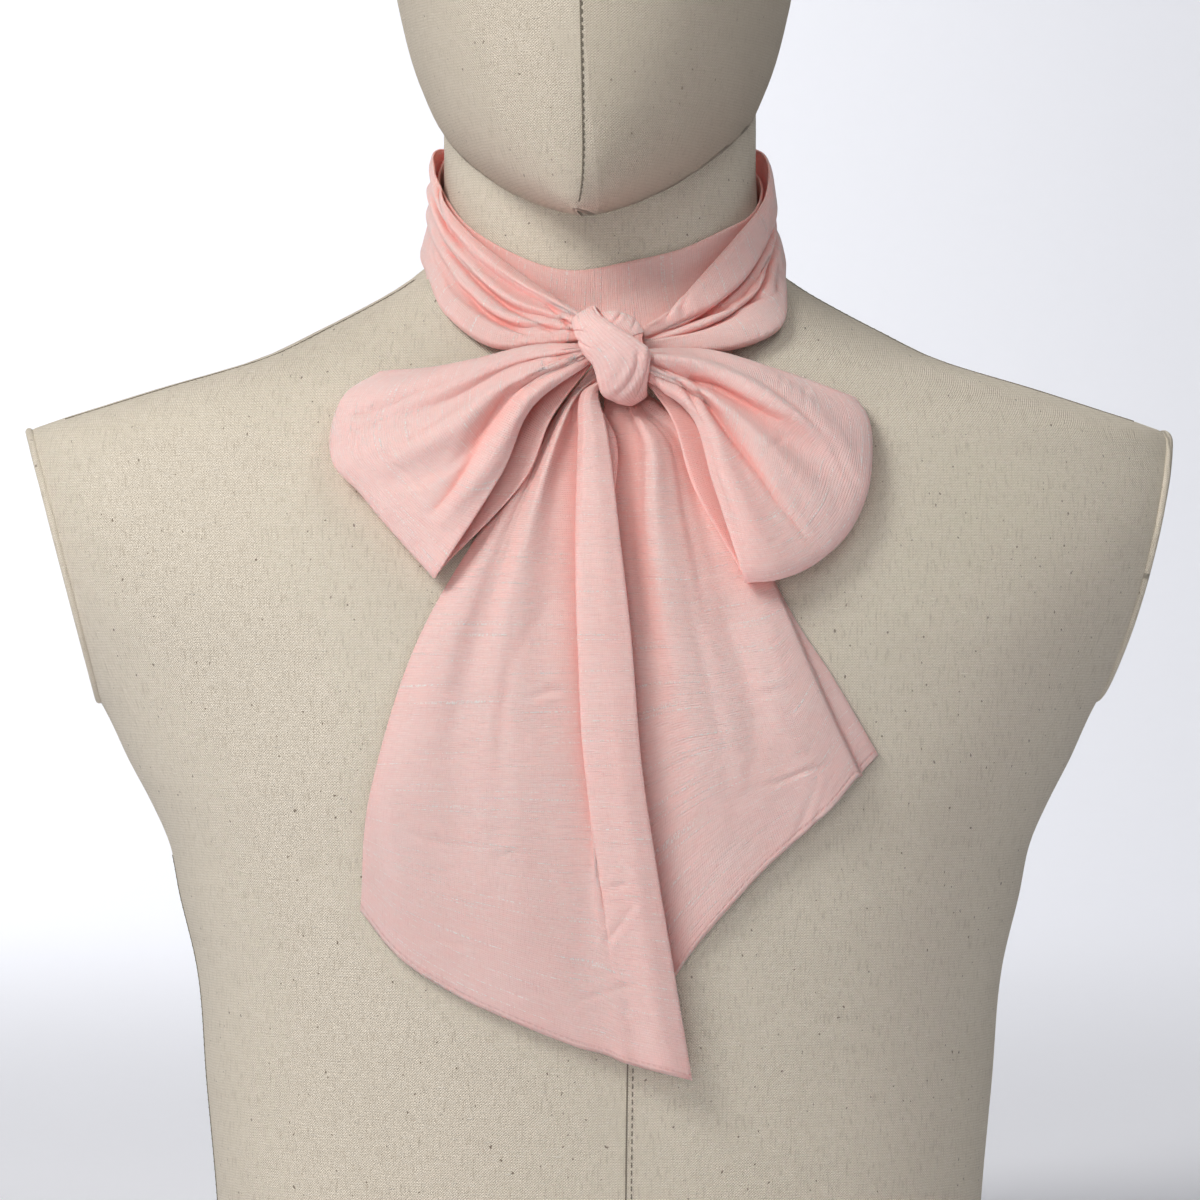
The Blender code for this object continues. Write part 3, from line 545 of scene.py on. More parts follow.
def in_knot(places):
    """Places from (along the bow, ahead of the knot's middle, up the band) triples."""
    places = np.asarray(places, float)
    local = np.stack([places[..., 0], -places[..., 1], places[..., 2]], axis=-1)
    x, z = turned(local[..., 0], local[..., 2], KNOT_TILT)
    return np.stack([KNOT_X + x, KNOT_Y + local[..., 1], KNOT_Z + z], axis=-1)


def knot_back_turn(around, across):
    """A patch of a rounded shell, tucked under the band's right edge."""
    along = np.radians(np.linspace(*BACK_TURN_ALONG, across))[:, None]
    a = np.radians(np.linspace(*BACK_TURN_ROUND, around))[None, :]
    half_along, half_ahead, half_up = BACK_TURN_HALF
    x = BACK_TURN_MIDDLE + half_along * np.sin(along) + 0 * a
    ahead = half_ahead * np.cos(along) * np.cos(a)
    up = half_up * np.cos(along) * np.sin(a)
    return in_knot(np.stack([x, ahead, up], axis=-1))

# Finer facets than the solids have: steps in mm across and along each kind of cloth.
CLOTH_WALL = 0.9
THROAT_STEP = 2.0
THROAT_LINES = 24
WRAP_STEP = 0.85
WRAP_FOLD_STEP = 0.22
KNOT_BAND_POINTS = (200, 60)
BACK_TURN_POINTS = (60, 36)
LOOP_STEPS = (0.9, 1.1)
TAIL_STEPS = (1.1, 1.4)
FORM_POINTS = 144
FORM_STEP = 4.0
CROWN_FROM = 600.0

# The two plies show at an open edge as a groove, and a folded edge is rounded.
HEM = -0.7
FOLDED = 0.35
# The hem's stitches run this far from its edge. A stretch without a hem is this far
# from one.
HEM_STITCHES = 2.2
NO_HEM = 100.0


def new_object(name, vertices, faces):
    """A shown mesh object from points in mm."""
    mesh = bpy.data.meshes.new(name)
    vertices = np.ascontiguousarray(vertices * MM, dtype=np.float32)
    faces = np.ascontiguousarray(faces, dtype=np.int32)
    mesh.vertices.add(len(vertices))
    mesh.vertices.foreach_set("co", vertices.ravel())
    mesh.loops.add(faces.size)
    mesh.loops.foreach_set("vertex_index", faces.ravel())
    mesh.polygons.add(len(faces))
    mesh.polygons.foreach_set("loop_start", np.arange(len(faces), dtype=np.int32) * 4)
    mesh.polygons.foreach_set("loop_total", np.full(len(faces), 4, dtype=np.int32))
    mesh.update(calc_edges=True)
    mesh.validate()
    mesh.shade_smooth()
    obj = bpy.data.objects.new(name, mesh)
    bpy.context.scene.collection.objects.link(obj)
    return obj


def store(obj, name, values):
    """Writes a vector for each point of a mesh, for its material to read."""
    made = obj.data.attributes.new(name, "FLOAT_VECTOR", "POINT")
    made.data.foreach_set("vector", np.ascontiguousarray(values, dtype=np.float32).ravel())


def finished(obj, material, slot, *nodes):
    """Gives a piece its material, hides the solids that it stands for, and hangs it on the root. slot is not used.
    """
    obj.data.materials.append(material)
    if nodes:
        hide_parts(*nodes)
    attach(obj, "root")
    return obj


def normals_of(grid, closed=False):
    """The unit normal at each point of a grid."""
    if closed:
        across = np.roll(grid, -1, axis=1) - np.roll(grid, 1, axis=1)
    else:
        across = np.gradient(grid, axis=1)
    normal = np.cross(np.gradient(grid, axis=0), across)
    return normal / np.maximum(np.linalg.norm(normal, axis=-1, keepdims=True), 1e-9)


def lengths(grid):
    """Each point's place along and across the cloth, in mm, as it lay flat."""
    along = np.linalg.norm(np.diff(grid, axis=0), axis=-1)
    across = np.linalg.norm(np.diff(grid, axis=1), axis=-1)
    v = np.concatenate([[0.0], np.cumsum(np.median(along, axis=1))])
    u = np.concatenate([[0.0], np.cumsum(np.quantile(across, 0.8, axis=0))])
    return u, v


def from_hem(grid):
    """How far each point of a grid lies from the cloth's far end, in mm."""
    steps = np.linalg.norm(np.diff(grid, axis=0), axis=-1)[::-1]
    return np.pad(steps.cumsum(axis=0), ((1, 0), (0, 0)))[::-1]


def shell(name, grid, edges, piece_number, closed=False, deep=0.0, hem=NO_HEM):
    """A thin wall of cloth through a grid. edges says how far the middle of the wall's
    start, end, left and right edges stands out, or is None where an edge is closed.
    deep says how deep each point lies in a crisp crease, hem how far it is from a hem."""
    rows, columns = grid.shape[:2]
    normal = normals_of(grid, closed) * CLOTH_WALL / 2
    u, v = lengths(grid)
    tags = np.broadcast_arrays(u[None, :], v[:, None], 40.0 * piece_number, deep, hem, 0.0)
    tags = np.stack([np.broadcast_to(tag, (rows, columns)) for tag in tags], axis=-1).reshape(-1, 6)
    points = [(grid + normal).reshape(-1, 3), (grid - normal).reshape(-1, 3)]
    coordinates = [tags] * 2
    back = rows * columns
    i, j = np.meshgrid(np.arange(rows - 1), np.arange(columns - (0 if closed else 1)), indexing="ij")
    k = (j + 1) % columns
    quads = np.stack([i * columns + j, i * columns + k, (i + 1) * columns + k, (i + 1) * columns + j], -1)
    quads = quads.reshape(-1, 4)
    faces = [quads[:, ::-1], quads + back]
    index = np.arange(back).reshape(rows, columns)
    count = 2 * back
    sides = [
        (index[0, ::-1], index[1, ::-1]),
        (index[-1], index[-2]),
        (index[:, 0], index[:, 1]),
        (index[::-1, -1], index[::-1, -2]),
    ]
    flat = grid.reshape(-1, 3)
    for (edge, inner), out in zip(sides, edges):
        if out is None:
            continue
        outward = flat[edge] - flat[inner]
        outward /= np.maximum(np.linalg.norm(outward, axis=-1, keepdims=True), 1e-9)
        points.append(flat[edge] + outward * out)
        coordinates.append(tags[edge])
        middle = count + np.arange(len(edge))
        count += len(edge)
        first, second = (edge, middle), (middle, edge + back)
        if closed:
            edge_pairs = [(line, np.roll(line, -1)) for line in (edge, middle, edge + back)]
        else:
            edge_pairs = [(line[:-1], line[1:]) for line in (edge, middle, edge + back)]
        for (a, b), (c, d) in zip(edge_pairs, edge_pairs[1:]):
            faces.append(np.stack([b, a, c, d], axis=-1))
    obj = new_object(name, np.concatenate(points), np.concatenate(faces))
    coordinates = np.concatenate(coordinates)
    store(obj, "weave", coordinates[:, :3])
    store(obj, "crease", coordinates[:, 3:])
    return obj


def creased(grid, creases, closed=False):
    """The grid with soft troughs and ridges. Each crease is: where it starts and ends
    along the cloth, where it starts and ends across it, its bow to the side, all as
    shares, then its width as a share and its height in mm."""
    rows, columns = grid.shape[:2]
    t = np.linspace(0.0, 1.0, rows)[:, None]
    s = np.linspace(0.0, 1.0, columns)[None, :]
    lift = np.zeros((rows, columns))
    for start, end, left, right, bow, width, height in creases:
        run = np.clip((t - start) / (end - start), 0.0, 1.0)
        line = left + (right - left) * run + bow * np.sin(np.pi * run)
        fade = np.sin(np.pi * run) ** 0.8
        away = s - line
        if closed:
            away = (away + 0.5) % 1.0 - 0.5
        spread = width * (0.7 + 0.6 * run)
        lift += height * fade * np.exp(-((away / spread) ** 2))
    return grid + normals_of(grid, closed) * lift[..., None]


def seen(points):
    """Where the camera sees points, on the upright plane through the origin."""
    nearer = CAMERA_Y / (CAMERA_Y - points[..., 1])
    height = CAMERA_Z + (points[..., 2] - CAMERA_Z) * nearer
    return np.stack([points[..., 0] * nearer, height], axis=-1)


def pressed(grid, lines, closed=False):
    """The grid with crisp creases on its camera side, and how deep each point lies."""
    normal = normals_of(grid, closed)
    facing = np.clip((-normal[..., 1] - 0.1) / 0.3, 0.0, 1.0).ravel()
    places = seen(grid).reshape(-1, 2)
    lift = np.zeros(len(places))
    deep = np.zeros(len(places))
    for width, depth, roll, line in lines:
        path = through(line, 0.5)
        low, high = path.min(axis=0) - 6 * width, path.max(axis=0) + 6 * width
        near = np.flatnonzero(np.all((places > low) & (places < high), axis=1))
        gaps = np.linalg.norm(places[near, None] - path[None], axis=-1)
        run = gaps.argmin(axis=1) / (len(path) - 1)
        away = gaps.min(axis=1) / width
        fade = np.maximum(np.sin(np.pi * run), 0.0) ** 0.5 * facing[near]
        lift[near] += fade * (roll * np.exp(-(((away - 2.4) / 1.5) ** 2)) - depth * np.exp(-away))
        deep[near] += fade * depth * np.exp(-((away / 0.8) ** 2))
    return grid + normal * lift.reshape(grid.shape[:2])[..., None], deep.reshape(grid.shape[:2])


def uneven(grid, amount, number, closed=False):
    """The grid with a faint, slow unevenness, so that no face is a perfect curve."""
    u, v = lengths(grid)
    u, v = u[None, :] / 10.0, v[:, None] / 10.0
    if closed:
        u = np.sin(2 * np.pi * np.linspace(0.0, 1.0, grid.shape[1], endpoint=False))[None, :] * 2.0
    a = number * 1.7
    wave = np.sin(0.9 * u + 0.35 * v + a) + 0.7 * np.sin(1.9 * u - 0.5 * v + 2.1 * a)
    wave = wave + 0.5 * np.sin(0.5 * u + 1.6 * v + 0.6 * a) + 0.4 * np.sin(3.3 * u + 0.8 * v - a)
    return grid + normals_of(grid, closed) * (amount * wave / 2.6)[..., None]

# Round the band, from the front and up: angle, half width, place of its middle.
KNOT_BAND_SECTIONS = [
    (-35.0, 9.8, -0.8),
    (-20.0, 10.8, 1.0),
    (0.0, 9.0, 1.0),
    (22.0, 7.6, -0.8),
    (50.0, 5.4, -1.6),
    (90.0, 4.6, -0.7),
    (140.0, 5.0, 0.0),
    (220.0, 5.0, 0.0),
    (270.0, 3.4, -0.4),
    (305.0, 6.4, -1.4),
    (325.0, 9.8, -0.8),
    (340.0, 10.8, 1.0),
    (360.0, 9.0, 1.0),
    (382.0, 7.6, -0.8),
]
# Folds across the band: place from -1 at its left to 1 at its right, height.
KNOT_FOLDS = [
    (-1.0, -1.5),
    (-0.78, 0.1),
    (-0.3, 1.2),
    (0.15, 1.5),
    (0.42, 1.3),
    (0.55, 1.0),
    (0.7, 0.6),
    (0.86, -0.2),
    (1.0, -1.4),
]
KNOT_FOLDS_REACH = 0.35
KNOT_FOLDS_BEHIND = 0.15
KNOT_FOLDS_AT_ENDS = 0.5


def knot_band(around, across):
    """The tight band of the knot as a ring of cloth, crowned between its edges."""
    angle = np.linspace(180.0, 540.0, around, endpoint=False)[None, :] % 360.0
    share = np.linspace(-1.0, 1.0, across)[:, None]
    half = column(KNOT_BAND_SECTIONS, angle, 1)
    middle = column(KNOT_BAND_SECTIONS, angle, 2)
    a = np.radians(angle)
    strength = np.clip(np.cos(a) + KNOT_FOLDS_REACH, KNOT_FOLDS_BEHIND, 1.0)
    out = column(KNOT_FOLDS, share, 1) * strength
    along = middle + half * share
    ahead = np.where(np.cos(a) > 0, KNOT_HALF_AHEAD + out, KNOT_HALF_BEHIND) * np.cos(a)
    up = (KNOT_HALF_LONG + KNOT_FOLDS_AT_ENDS * out) * np.sin(a)
    return in_knot(np.stack([along + 0 * a, ahead, up], axis=-1))


# The creases that the photo shows, pressed into the cloth's camera side. Each is:
# width, depth, height of the soft rolls beside it, and the places that it runs
# through, (x, z) in mm as the camera sees them on the upright plane through the origin.
LEFT_WRAP_PRESSED = [
    # between the plain upper fold and the ribbed middle one
    (1.0, 1.6, 0.5, [(-57.5, 391.5), (-52, 387), (-46.5, 381), (-40.5, 375), (-34.5, 370), (-27, 366), (-14, 358)]),
    (1.0, 1.5, 0.4, [(-54.5, 379.5), (-49.5, 374.5), (-44, 368.5), (-37, 364), (-29.5, 360.5), (-16.5, 356.5)]),
    (0.9, 1.2, 0.4, [(-59.5, 374.5), (-55, 370), (-49, 364.5), (-42.5, 360.5), (-36, 357.5), (-29.5, 356)]),
    # the slit under the outer roll
    (0.9, 2.2, 0.5, [(-59, 422), (-61, 412.5), (-60, 406), (-57.5, 399.5), (-54, 395.5), (-50, 391)]),
    # the small roll at the knot, and the pocket in it
    (0.9, 1.8, 0.6, [(-21, 371), (-18.5, 369.5), (-15.5, 367), (-12.5, 363.5), (-9, 359)]),
    (0.5, 0.4, 0.2, [(-66, 404), (-65, 394), (-62, 385), (-58, 377)]),
    (0.5, 0.4, 0.2, [(-64, 400), (-62.5, 390), (-59, 381)]),
    (0.6, 0.5, 0.1, [(-50, 384), (-45.5, 378.5), (-41, 373.5)]),
    (0.6, 0.4, 0.1, [(-40, 366), (-34, 362.5), (-28, 361)]),
]
RIGHT_WRAP_PRESSED = [
    # the deep pocket, and the fold that runs from it into the knot
    (1.1, 2.2, 0.6, [(66, 391), (61.5, 384.5), (56.5, 378.5), (51, 372.5), (44, 369), (28.5, 363), (13, 356)]),
    (2.4, 1.4, 0.0, [(66.5, 388), (62, 380), (57, 375), (51, 371.5)]),
    (0.8, 1.2, 0.5, [(67, 375), (60, 373.5), (56.5, 372), (51.5, 370), (42, 367.5)]),
    (0.9, 1.4, 0.3, [(67.5, 387), (67, 380), (66, 376), (64, 373.5)]),
    # gathers beside the knot
    (0.6, 1.0, 0.4, [(30.5, 374.5), (27, 369.5), (24, 365), (20.5, 363), (14.5, 358.5)]),
    (0.6, 0.8, 0.3, [(33.5, 375.5), (30.5, 370), (28.5, 366.5), (26, 363)]),
    (0.6, 1.0, 0.4, [(22, 369.5), (16, 364.5), (11, 359)]),
    (0.5, 0.5, 0.2, [(63.5, 371), (60.5, 365), (60, 360.5), (59.5, 356)]),
    (0.5, 0.4, 0.2, [(66, 369), (63.5, 363.5), (62.5, 358)]),
    (0.5, 0.4, 0.1, [(61, 403), (63.5, 397), (67, 391)]),
    (1.8, 0.7, 0.3, [(62, 409), (59, 400), (53, 391), (46.5, 383), (38, 376)]),
]
THROAT_PRESSED = [
    (3.0, 0.6, 0.2, [(-38, 377), (-22, 371.5), (-4, 370), (14, 372)]),
    (2.0, 0.5, 0.2, [(-6, 381), (-1, 374), (2, 366)]),
]
LEFT_LOOP_PRESSED = [
    # the broad hollow, with its sharp line
    (2.2, 1.8, 0.7, [(-30, 344), (-33, 340.5), (-39, 331.5), (-45.5, 321.5), (-54, 305.5), (-66, 289)]),
    (0.9, 0.8, 0.3, [(-41, 326), (-45, 319), (-49, 312), (-56, 302), (-63, 293)]),
    # beside the ridge that falls to the far fold
    (1.6, 1.0, 0.6, [(-45, 346.5), (-58, 341.5), (-71.5, 337), (-82.5, 331.5), (-97, 329)]),
    (2.0, 1.0, 0.5, [(-36, 343), (-45.5, 337.5), (-61.5, 326.5), (-76.5, 318), (-90, 310)]),
    (0.9, 0.5, 0.2, [(-98, 331), (-90, 330), (-82, 333.5), (-74, 336)]),
    (0.9, 0.5, 0.2, [(-97, 323), (-88, 324), (-79, 327.5)]),
    (0.9, 0.5, 0.2, [(-80, 314), (-70, 306), (-62, 299)]),
    # under the ridge at the knot
    (1.0, 1.5, 0.4, [(-5, 350.5), (-14, 351), (-21, 347), (-29, 342)]),
]
RIGHT_LOOP_PRESSED = [
    # above and below the long upper ridge
    (1.4, 1.3, 0.7, [(30, 354), (46, 348), (57.5, 343.5), (66.5, 338), (76, 330.5), (84, 322), (92, 313)]),
    (1.2, 2.4, 0.7, [(32, 343), (42.5, 340.5), (51, 336), (59, 331.5), (68, 326.5)]),
    # the long hollow down to the far fold
    (1.1, 1.8, 0.7, [(34, 344), (42.5, 330), (51, 318), (59, 307.5), (66.5, 296.5), (73, 288.5), (83, 277)]),
    (0.9, 1.2, 0.5, [(18, 351), (22, 347.5), (28, 343.5), (33.5, 337), (39, 325)]),
    (0.9, 1.0, 0.4, [(15, 346), (17.5, 343.5), (22, 339), (24.5, 334), (30, 328)]),
    (0.9, 0.7, 0.3, [(14, 341), (19, 337), (24, 331.5)]),
    (0.9, 0.7, 0.3, [(40, 322), (43.5, 309), (48, 297), (53, 284)]),
    (0.9, 0.6, 0.3, [(62.5, 317), (66.5, 319), (70, 322)]),
    (0.9, 0.6, 0.3, [(72, 304.5), (74, 308), (77, 313)]),
    (0.9, 0.5, 0.3, [(75.5, 304), (77.5, 307.5), (80, 312)]),
    (0.9, 0.5, 0.2, [(66, 336), (67.5, 340), (70, 345)]),
    (0.9, 0.5, 0.2, [(76, 331.5), (76.5, 336), (78, 341.5)]),
    (0.9, 0.5, 0.2, [(86, 318), (91, 310), (97, 301)]),
]
FRONT_TAIL_PRESSED = [
    (5.0, 0.9, 0.3, [(-16, 264), (-32, 239), (-38.5, 210.5), (-41, 178)]),
    (1.0, 0.7, 0.3, [(-28.5, 222.5), (-23, 224.5), (-13, 227.5)]),
    (1.0, 0.6, 0.3, [(-39.5, 163.5), (-33, 166), (-27, 165)]),
    (1.0, 0.5, 0.2, [(-71, 173), (-61, 170), (-51, 168), (-41, 167.5)]),
    # the pinched wrinkles near the strip's point
    (1.0, 1.0, 0.5, [(1, 130.5), (4.5, 135), (8, 139.5), (13.5, 148.5)]),
    (1.0, 0.6, 0.3, [(0, 151), (9, 153.5), (18, 153.5)]),
    (0.9, 0.4, 0.2, [(0, 146), (9, 147.5), (16, 149)]),
    (0.9, 0.8, 0.4, [(-13.5, 108), (-3, 112), (7, 115), (22, 119)]),
    (1.0, 0.5, 0.2, [(-66, 134), (-52, 131), (-38, 129)]),
    (0.9, 0.5, 0.2, [(-48, 118), (-34, 113), (-22, 113)]),
]
BACK_TAIL_PRESSED = [
    # the hollow beside the centre pleat
    (4.2, 0.9, 0.0, [(8.5, 334), (10.5, 309), (12.5, 290), (15, 267.5), (19.5, 236)]),
    (1.0, 0.7, 0.3, [(58, 223), (66, 226.5), (76, 227)]),
    (0.9, 0.7, 0.3, [(57, 190.5), (67, 192), (78, 196.5), (92, 198)]),
    (1.0, 0.6, 0.3, [(71, 167), (76, 178), (80, 189), (82, 198)]),
    (1.0, 0.5, 0.2, [(77, 170), (81, 179), (84, 190)]),
    (0.9, 0.5, 0.2, [(52, 249), (59, 238), (62, 224)]),
    (0.9, 0.5, 0.2, [(57, 247), (63, 236), (64, 219)]),
    (3.0, 0.8, 0.2, [(44, 258), (54, 232), (58, 205), (54, 180)]),
]
KNOT_PRESSED = [
    # right of the sharp ridge, and the groove by the band's right edge
    (0.9, 0.5, 0.6, [(14.5, 355), (14, 351), (13.5, 347), (11.5, 343), (8.5, 339), (4, 335.5)]),
    (0.5, 0.6, 0.2, [(17.5, 358), (18.3, 354), (18, 350), (17.5, 346.5), (16, 341.5), (12.5, 334)]),
    # the flat turns at its upper left
    (0.35, 0.7, 0.2, [(-11, 361), (-7, 361), (-4, 360)]),
    (0.35, 0.7, 0.2, [(-11, 360.5), (-7.5, 357), (-2.5, 354)]),
    # gathers along its upper edge
    (0.5, 0.8, 0.4, [(-4.5, 373), (-3, 370), (-1, 366.5)]),
    (0.4, 0.5, 0.3, [(-1.5, 372), (-0.5, 369.5), (1, 366)]),
    (0.5, 0.5, 0.2, [(2.0, 371), (3, 368), (4.5, 365.5)]),
    (0.5, 0.5, 0.2, [(-9.5, 370), (-8.5, 367.5), (-8, 364.5)]),
    (2.2, 0.5, 0.2, [(2, 358), (0, 351), (1.5, 343)]),
]
BACK_TURN_PRESSED = [
    (0.6, 0.8, 0.5, [(10, 370.5), (7.5, 367), (4, 362.5)]),
    (0.6, 0.4, 0.2, [(14, 367), (13, 364), (11.5, 360.5)]),
]

# Softer folds all round the cloth. Each is: start and end along it, start and end
# across it, bow to the side, width, height in mm.
FRONT_TAIL_CREASES = [
    (-0.3, 0.34, 0.10, 0.06, 0.01, 0.018, -0.9),
    (-0.3, 0.42, 0.22, 0.20, 0.02, 0.022, 0.8),
    (-0.2, 0.28, 0.33, 0.31, 0.01, 0.016, -0.8),
    (0.12, 0.80, 0.16, 0.20, -0.02, 0.030, 0.7),
    (0.30, 1.10, 0.36, 0.30, 0.02, 0.026, -0.6),
    (0.20, 0.95, 0.72, 0.70, 0.01, 0.020, -0.7),
    (-0.2, 0.40, 0.86, 0.84, 0.01, 0.020, 0.6),
    (0.45, 1.05, 0.90, 0.86, 0.01, 0.026, -0.5),
    (0.55, 0.98, 0.05, 0.10, 0.01, 0.030, 0.6),
]
BACK_TAIL_CREASES = [
    (0.00, 0.40, 0.40, 0.36, 0.01, 0.020, 0.7),
    (0.05, 0.50, 0.62, 0.60, 0.01, 0.022, -0.8),
    (0.02, 0.36, 0.76, 0.74, 0.00, 0.018, 0.7),
    (0.30, 0.95, 0.55, 0.50, 0.02, 0.024, -0.6),
    (0.45, 1.10, 0.72, 0.78, 0.01, 0.030, 0.7),
    (0.30, 0.90, 0.20, 0.16, 0.01, 0.030, 0.5),
]
LEFT_LOOP_CREASES = [
    (-0.2, 0.24, 0.08, 0.12, 0.01, 0.022, -0.9),
    (-0.2, 0.30, 0.25, 0.22, 0.01, 0.020, 0.8),
    (-0.1, 0.20, 0.42, 0.40, 0.00, 0.018, -0.7),
    (-0.1, 0.28, 0.60, 0.66, 0.01, 0.020, 0.7),
    (0.14, 0.46, 0.30, 0.26, 0.03, 0.030, -0.8),
    (0.20, 0.50, 0.62, 0.72, 0.02, 0.030, 0.7),
    (0.60, 0.95, 0.35, 0.40, 0.02, 0.030, 0.7),
    (0.62, 1.10, 0.70, 0.62, 0.01, 0.026, -0.7),
]
RIGHT_LOOP_CREASES = [
    (-0.2, 0.22, 0.90, 0.86, 0.01, 0.020, -0.9),
    (-0.2, 0.30, 0.74, 0.78, 0.01, 0.020, 0.8),
    (-0.1, 0.26, 0.55, 0.60, 0.00, 0.018, -0.7),
    (-0.1, 0.24, 0.36, 0.30, 0.01, 0.020, 0.8),
    (0.12, 0.44, 0.66, 0.72, 0.03, 0.030, 0.7),
    (0.18, 0.48, 0.44, 0.36, 0.02, 0.030, -0.7),
    (0.60, 0.95, 0.35, 0.40, 0.02, 0.030, 0.7),
    (0.62, 1.10, 0.70, 0.62, 0.01, 0.026, -0.7),
]
LEFT_WRAP_CREASES = [
    (-0.1, 0.30, 0.15, 0.10, 0.02, 0.030, -0.6),
    (0.02, 0.36, 0.52, 0.55, 0.02, 0.030, 0.6),
    (0.05, 0.60, 0.74, 0.86, 0.03, 0.040, -0.6),
    (0.30, 0.80, 0.30, 0.40, 0.03, 0.040, 0.6),
    (0.55, 1.10, 0.66, 0.56, 0.02, 0.040, -0.6),
]
RIGHT_WRAP_CREASES = [
    (-0.1, 0.32, 0.20, 0.26, 0.02, 0.030, 0.6),
    (0.02, 0.40, 0.70, 0.62, 0.02, 0.030, -0.6),
    (0.10, 0.60, 0.84, 0.80, 0.03, 0.040, 0.6),
    (0.30, 0.80, 0.40, 0.46, 0.03, 0.040, -0.6),
    (0.55, 1.10, 0.30, 0.44, 0.02, 0.040, 0.6),
]
THROAT_CREASES = [
    (0.30, 0.70, 0.55, 0.62, 0.05, 0.10, -0.5),
    (0.10, 0.42, 0.35, 0.25, 0.04, 0.08, 0.4),
    (0.55, 0.92, 0.30, 0.40, 0.05, 0.09, 0.5),
]


# Beside the neck the linen stands a little fuller than the body that the scarf is
# wound on: height, half width.
SHOULDER_LINEN = {360.0: 107.0, 370.0: 87.5, 375.0: 78.5, 380.0: 71.0}
FORM_TORSO = [(row[0], SHOULDER_LINEN.get(row[0], row[1]), *row[2:]) for row in TORSO]


def round_linen(places, table, step=4.0):
    """How far round the form each point lies from its front line, in mm."""
    angles = np.radians(np.linspace(0.0, 180.0, 91))
    heights = np.arange(table[0][0], table[-1][0] + step, step)
    x, y = section_point(table, angles[None, :], heights[:, None])
    run = np.hypot(np.diff(x, axis=1), np.diff(y, axis=1)).cumsum(axis=1)
    run = np.pad(run, ((0, 0), (1, 0)))
    level = np.clip((places[:, 2] - heights[0]) / step, 0.0, len(heights) - 1.001)
    angle = np.arctan2(places[:, 0], -places[:, 1])
    far = np.zeros(len(places))
    for row in range(len(heights) - 1):
        here = np.flatnonzero(level.astype(int) == row)
        below, above = (
            np.interp(np.abs(angle[here]), np.arctan2(x[k], -y[k]), run[k]) for k in (row, row + 1)
        )
        far[here] = below + (above - below) * (level[here] - row)
    return far * np.sign(angle)


def form_loft(name, table, heights, turn=0.0, shift=(0.0, 0.0)):
    """A closed body with rings at the given heights of a section table."""
    angles = np.linspace(0.0, 2 * math.pi, FORM_POINTS, endpoint=False)
    shape = bmesh.new()
    rings = []
    for height in heights:
        x, y = section_point(table, angles, height)
        x, y = turned(x, y, turn)
        places = np.stack([x + shift[0], y + shift[1], height + 0 * x], axis=-1) * MM
        rings.append([shape.verts.new(place) for place in places])
    for below, above in zip(rings, rings[1:]):
        for i in range(FORM_POINTS):
            k = (i + 1) % FORM_POINTS
            shape.faces.new((below[i], below[k], above[k], above[i]))
    shape.faces.new(rings[0][::-1])
    shape.faces.new(rings[-1])
    bmesh.ops.recalc_face_normals(shape, faces=shape.faces)
    return from_bmesh(name, shape)


def from_bmesh(name, shape, matrix=None):
    """A mesh object from a bmesh."""
    mesh = bpy.data.meshes.new(name)
    shape.to_mesh(mesh)
    shape.free()
    obj = bpy.data.objects.new(name, mesh)
    bpy.context.scene.collection.objects.link(obj)
    if matrix is not None:
        obj.matrix_world = matrix
    return obj


def oval_shape(half_tall, half_wide, deep):
    """An upright oval disc whose axis is X."""
    shape = bmesh.new()
    turn = Matrix.Rotation(math.radians(90), 4, "Y")
    size = Matrix.Diagonal((deep * MM, half_wide * MM, half_tall * MM, 1.0))
    bmesh.ops.create_cone(
        shape,
        cap_ends=True,
        segments=80,
        radius1=1.0,
        radius2=1.0,
        depth=1.0,
        matrix=size @ turn,
    )
    return shape


def arm_frame(side):
    """The matrix of an arm end: its X points out of the cut, its Z up along it."""
    turn = Matrix.Rotation(math.radians(TORSO_TURN), 4, "Z")
    if side < 0:
        turn = turn @ Matrix.Rotation(math.pi, 4, "Z")
    foot = Matrix.Translation(Vector((ARM_CUT_X, 0.0, ARM_CUT_Z)) * MM)
    return turn @ foot @ Matrix.Rotation(math.radians(ARM_CUT_LEAN), 4, "Y")


def tube(name, path, radius, closed, sides=10):
    """A round cord through points in mm, with its weave coordinates."""
    path = np.asarray(path, float)
    if closed:
        ahead = np.roll(path, -1, axis=0) - np.roll(path, 1, axis=0)
    else:
        ahead = np.gradient(path, axis=0)
    ahead /= np.linalg.norm(ahead, axis=1, keepdims=True)
    side = np.cross(ahead, (0.31, 0.74, 0.6))
    side /= np.linalg.norm(side, axis=1, keepdims=True)
    other = np.cross(ahead, side)
    turn = np.linspace(0.0, 2 * np.pi, sides, endpoint=False)
    ring = np.cos(turn)[None, :, None] * side[:, None] + np.sin(turn)[None, :, None] * other[:, None]
    points = (path[:, None] + radius * ring).reshape(-1, 3)
    count = len(path)
    i, j = np.meshgrid(np.arange(count - (0 if closed else 1)), np.arange(sides), indexing="ij")
    n, k = (i + 1) % count, (j + 1) % sides
    faces = np.stack([i * sides + j, i * sides + k, n * sides + k, n * sides + j], -1)
    obj = new_object(name, points, faces.reshape(-1, 4))
    run = np.concatenate([[0.0], np.cumsum(np.linalg.norm(np.diff(path, axis=0), axis=1))])
    u = np.broadcast_to((turn * radius)[None, :], (count, sides))
    v = np.broadcast_to(run[:, None], (count, sides))
    store(obj, "weave", np.stack([u, v, 0 * u + 300.0], axis=-1).reshape(-1, 3))
    return obj
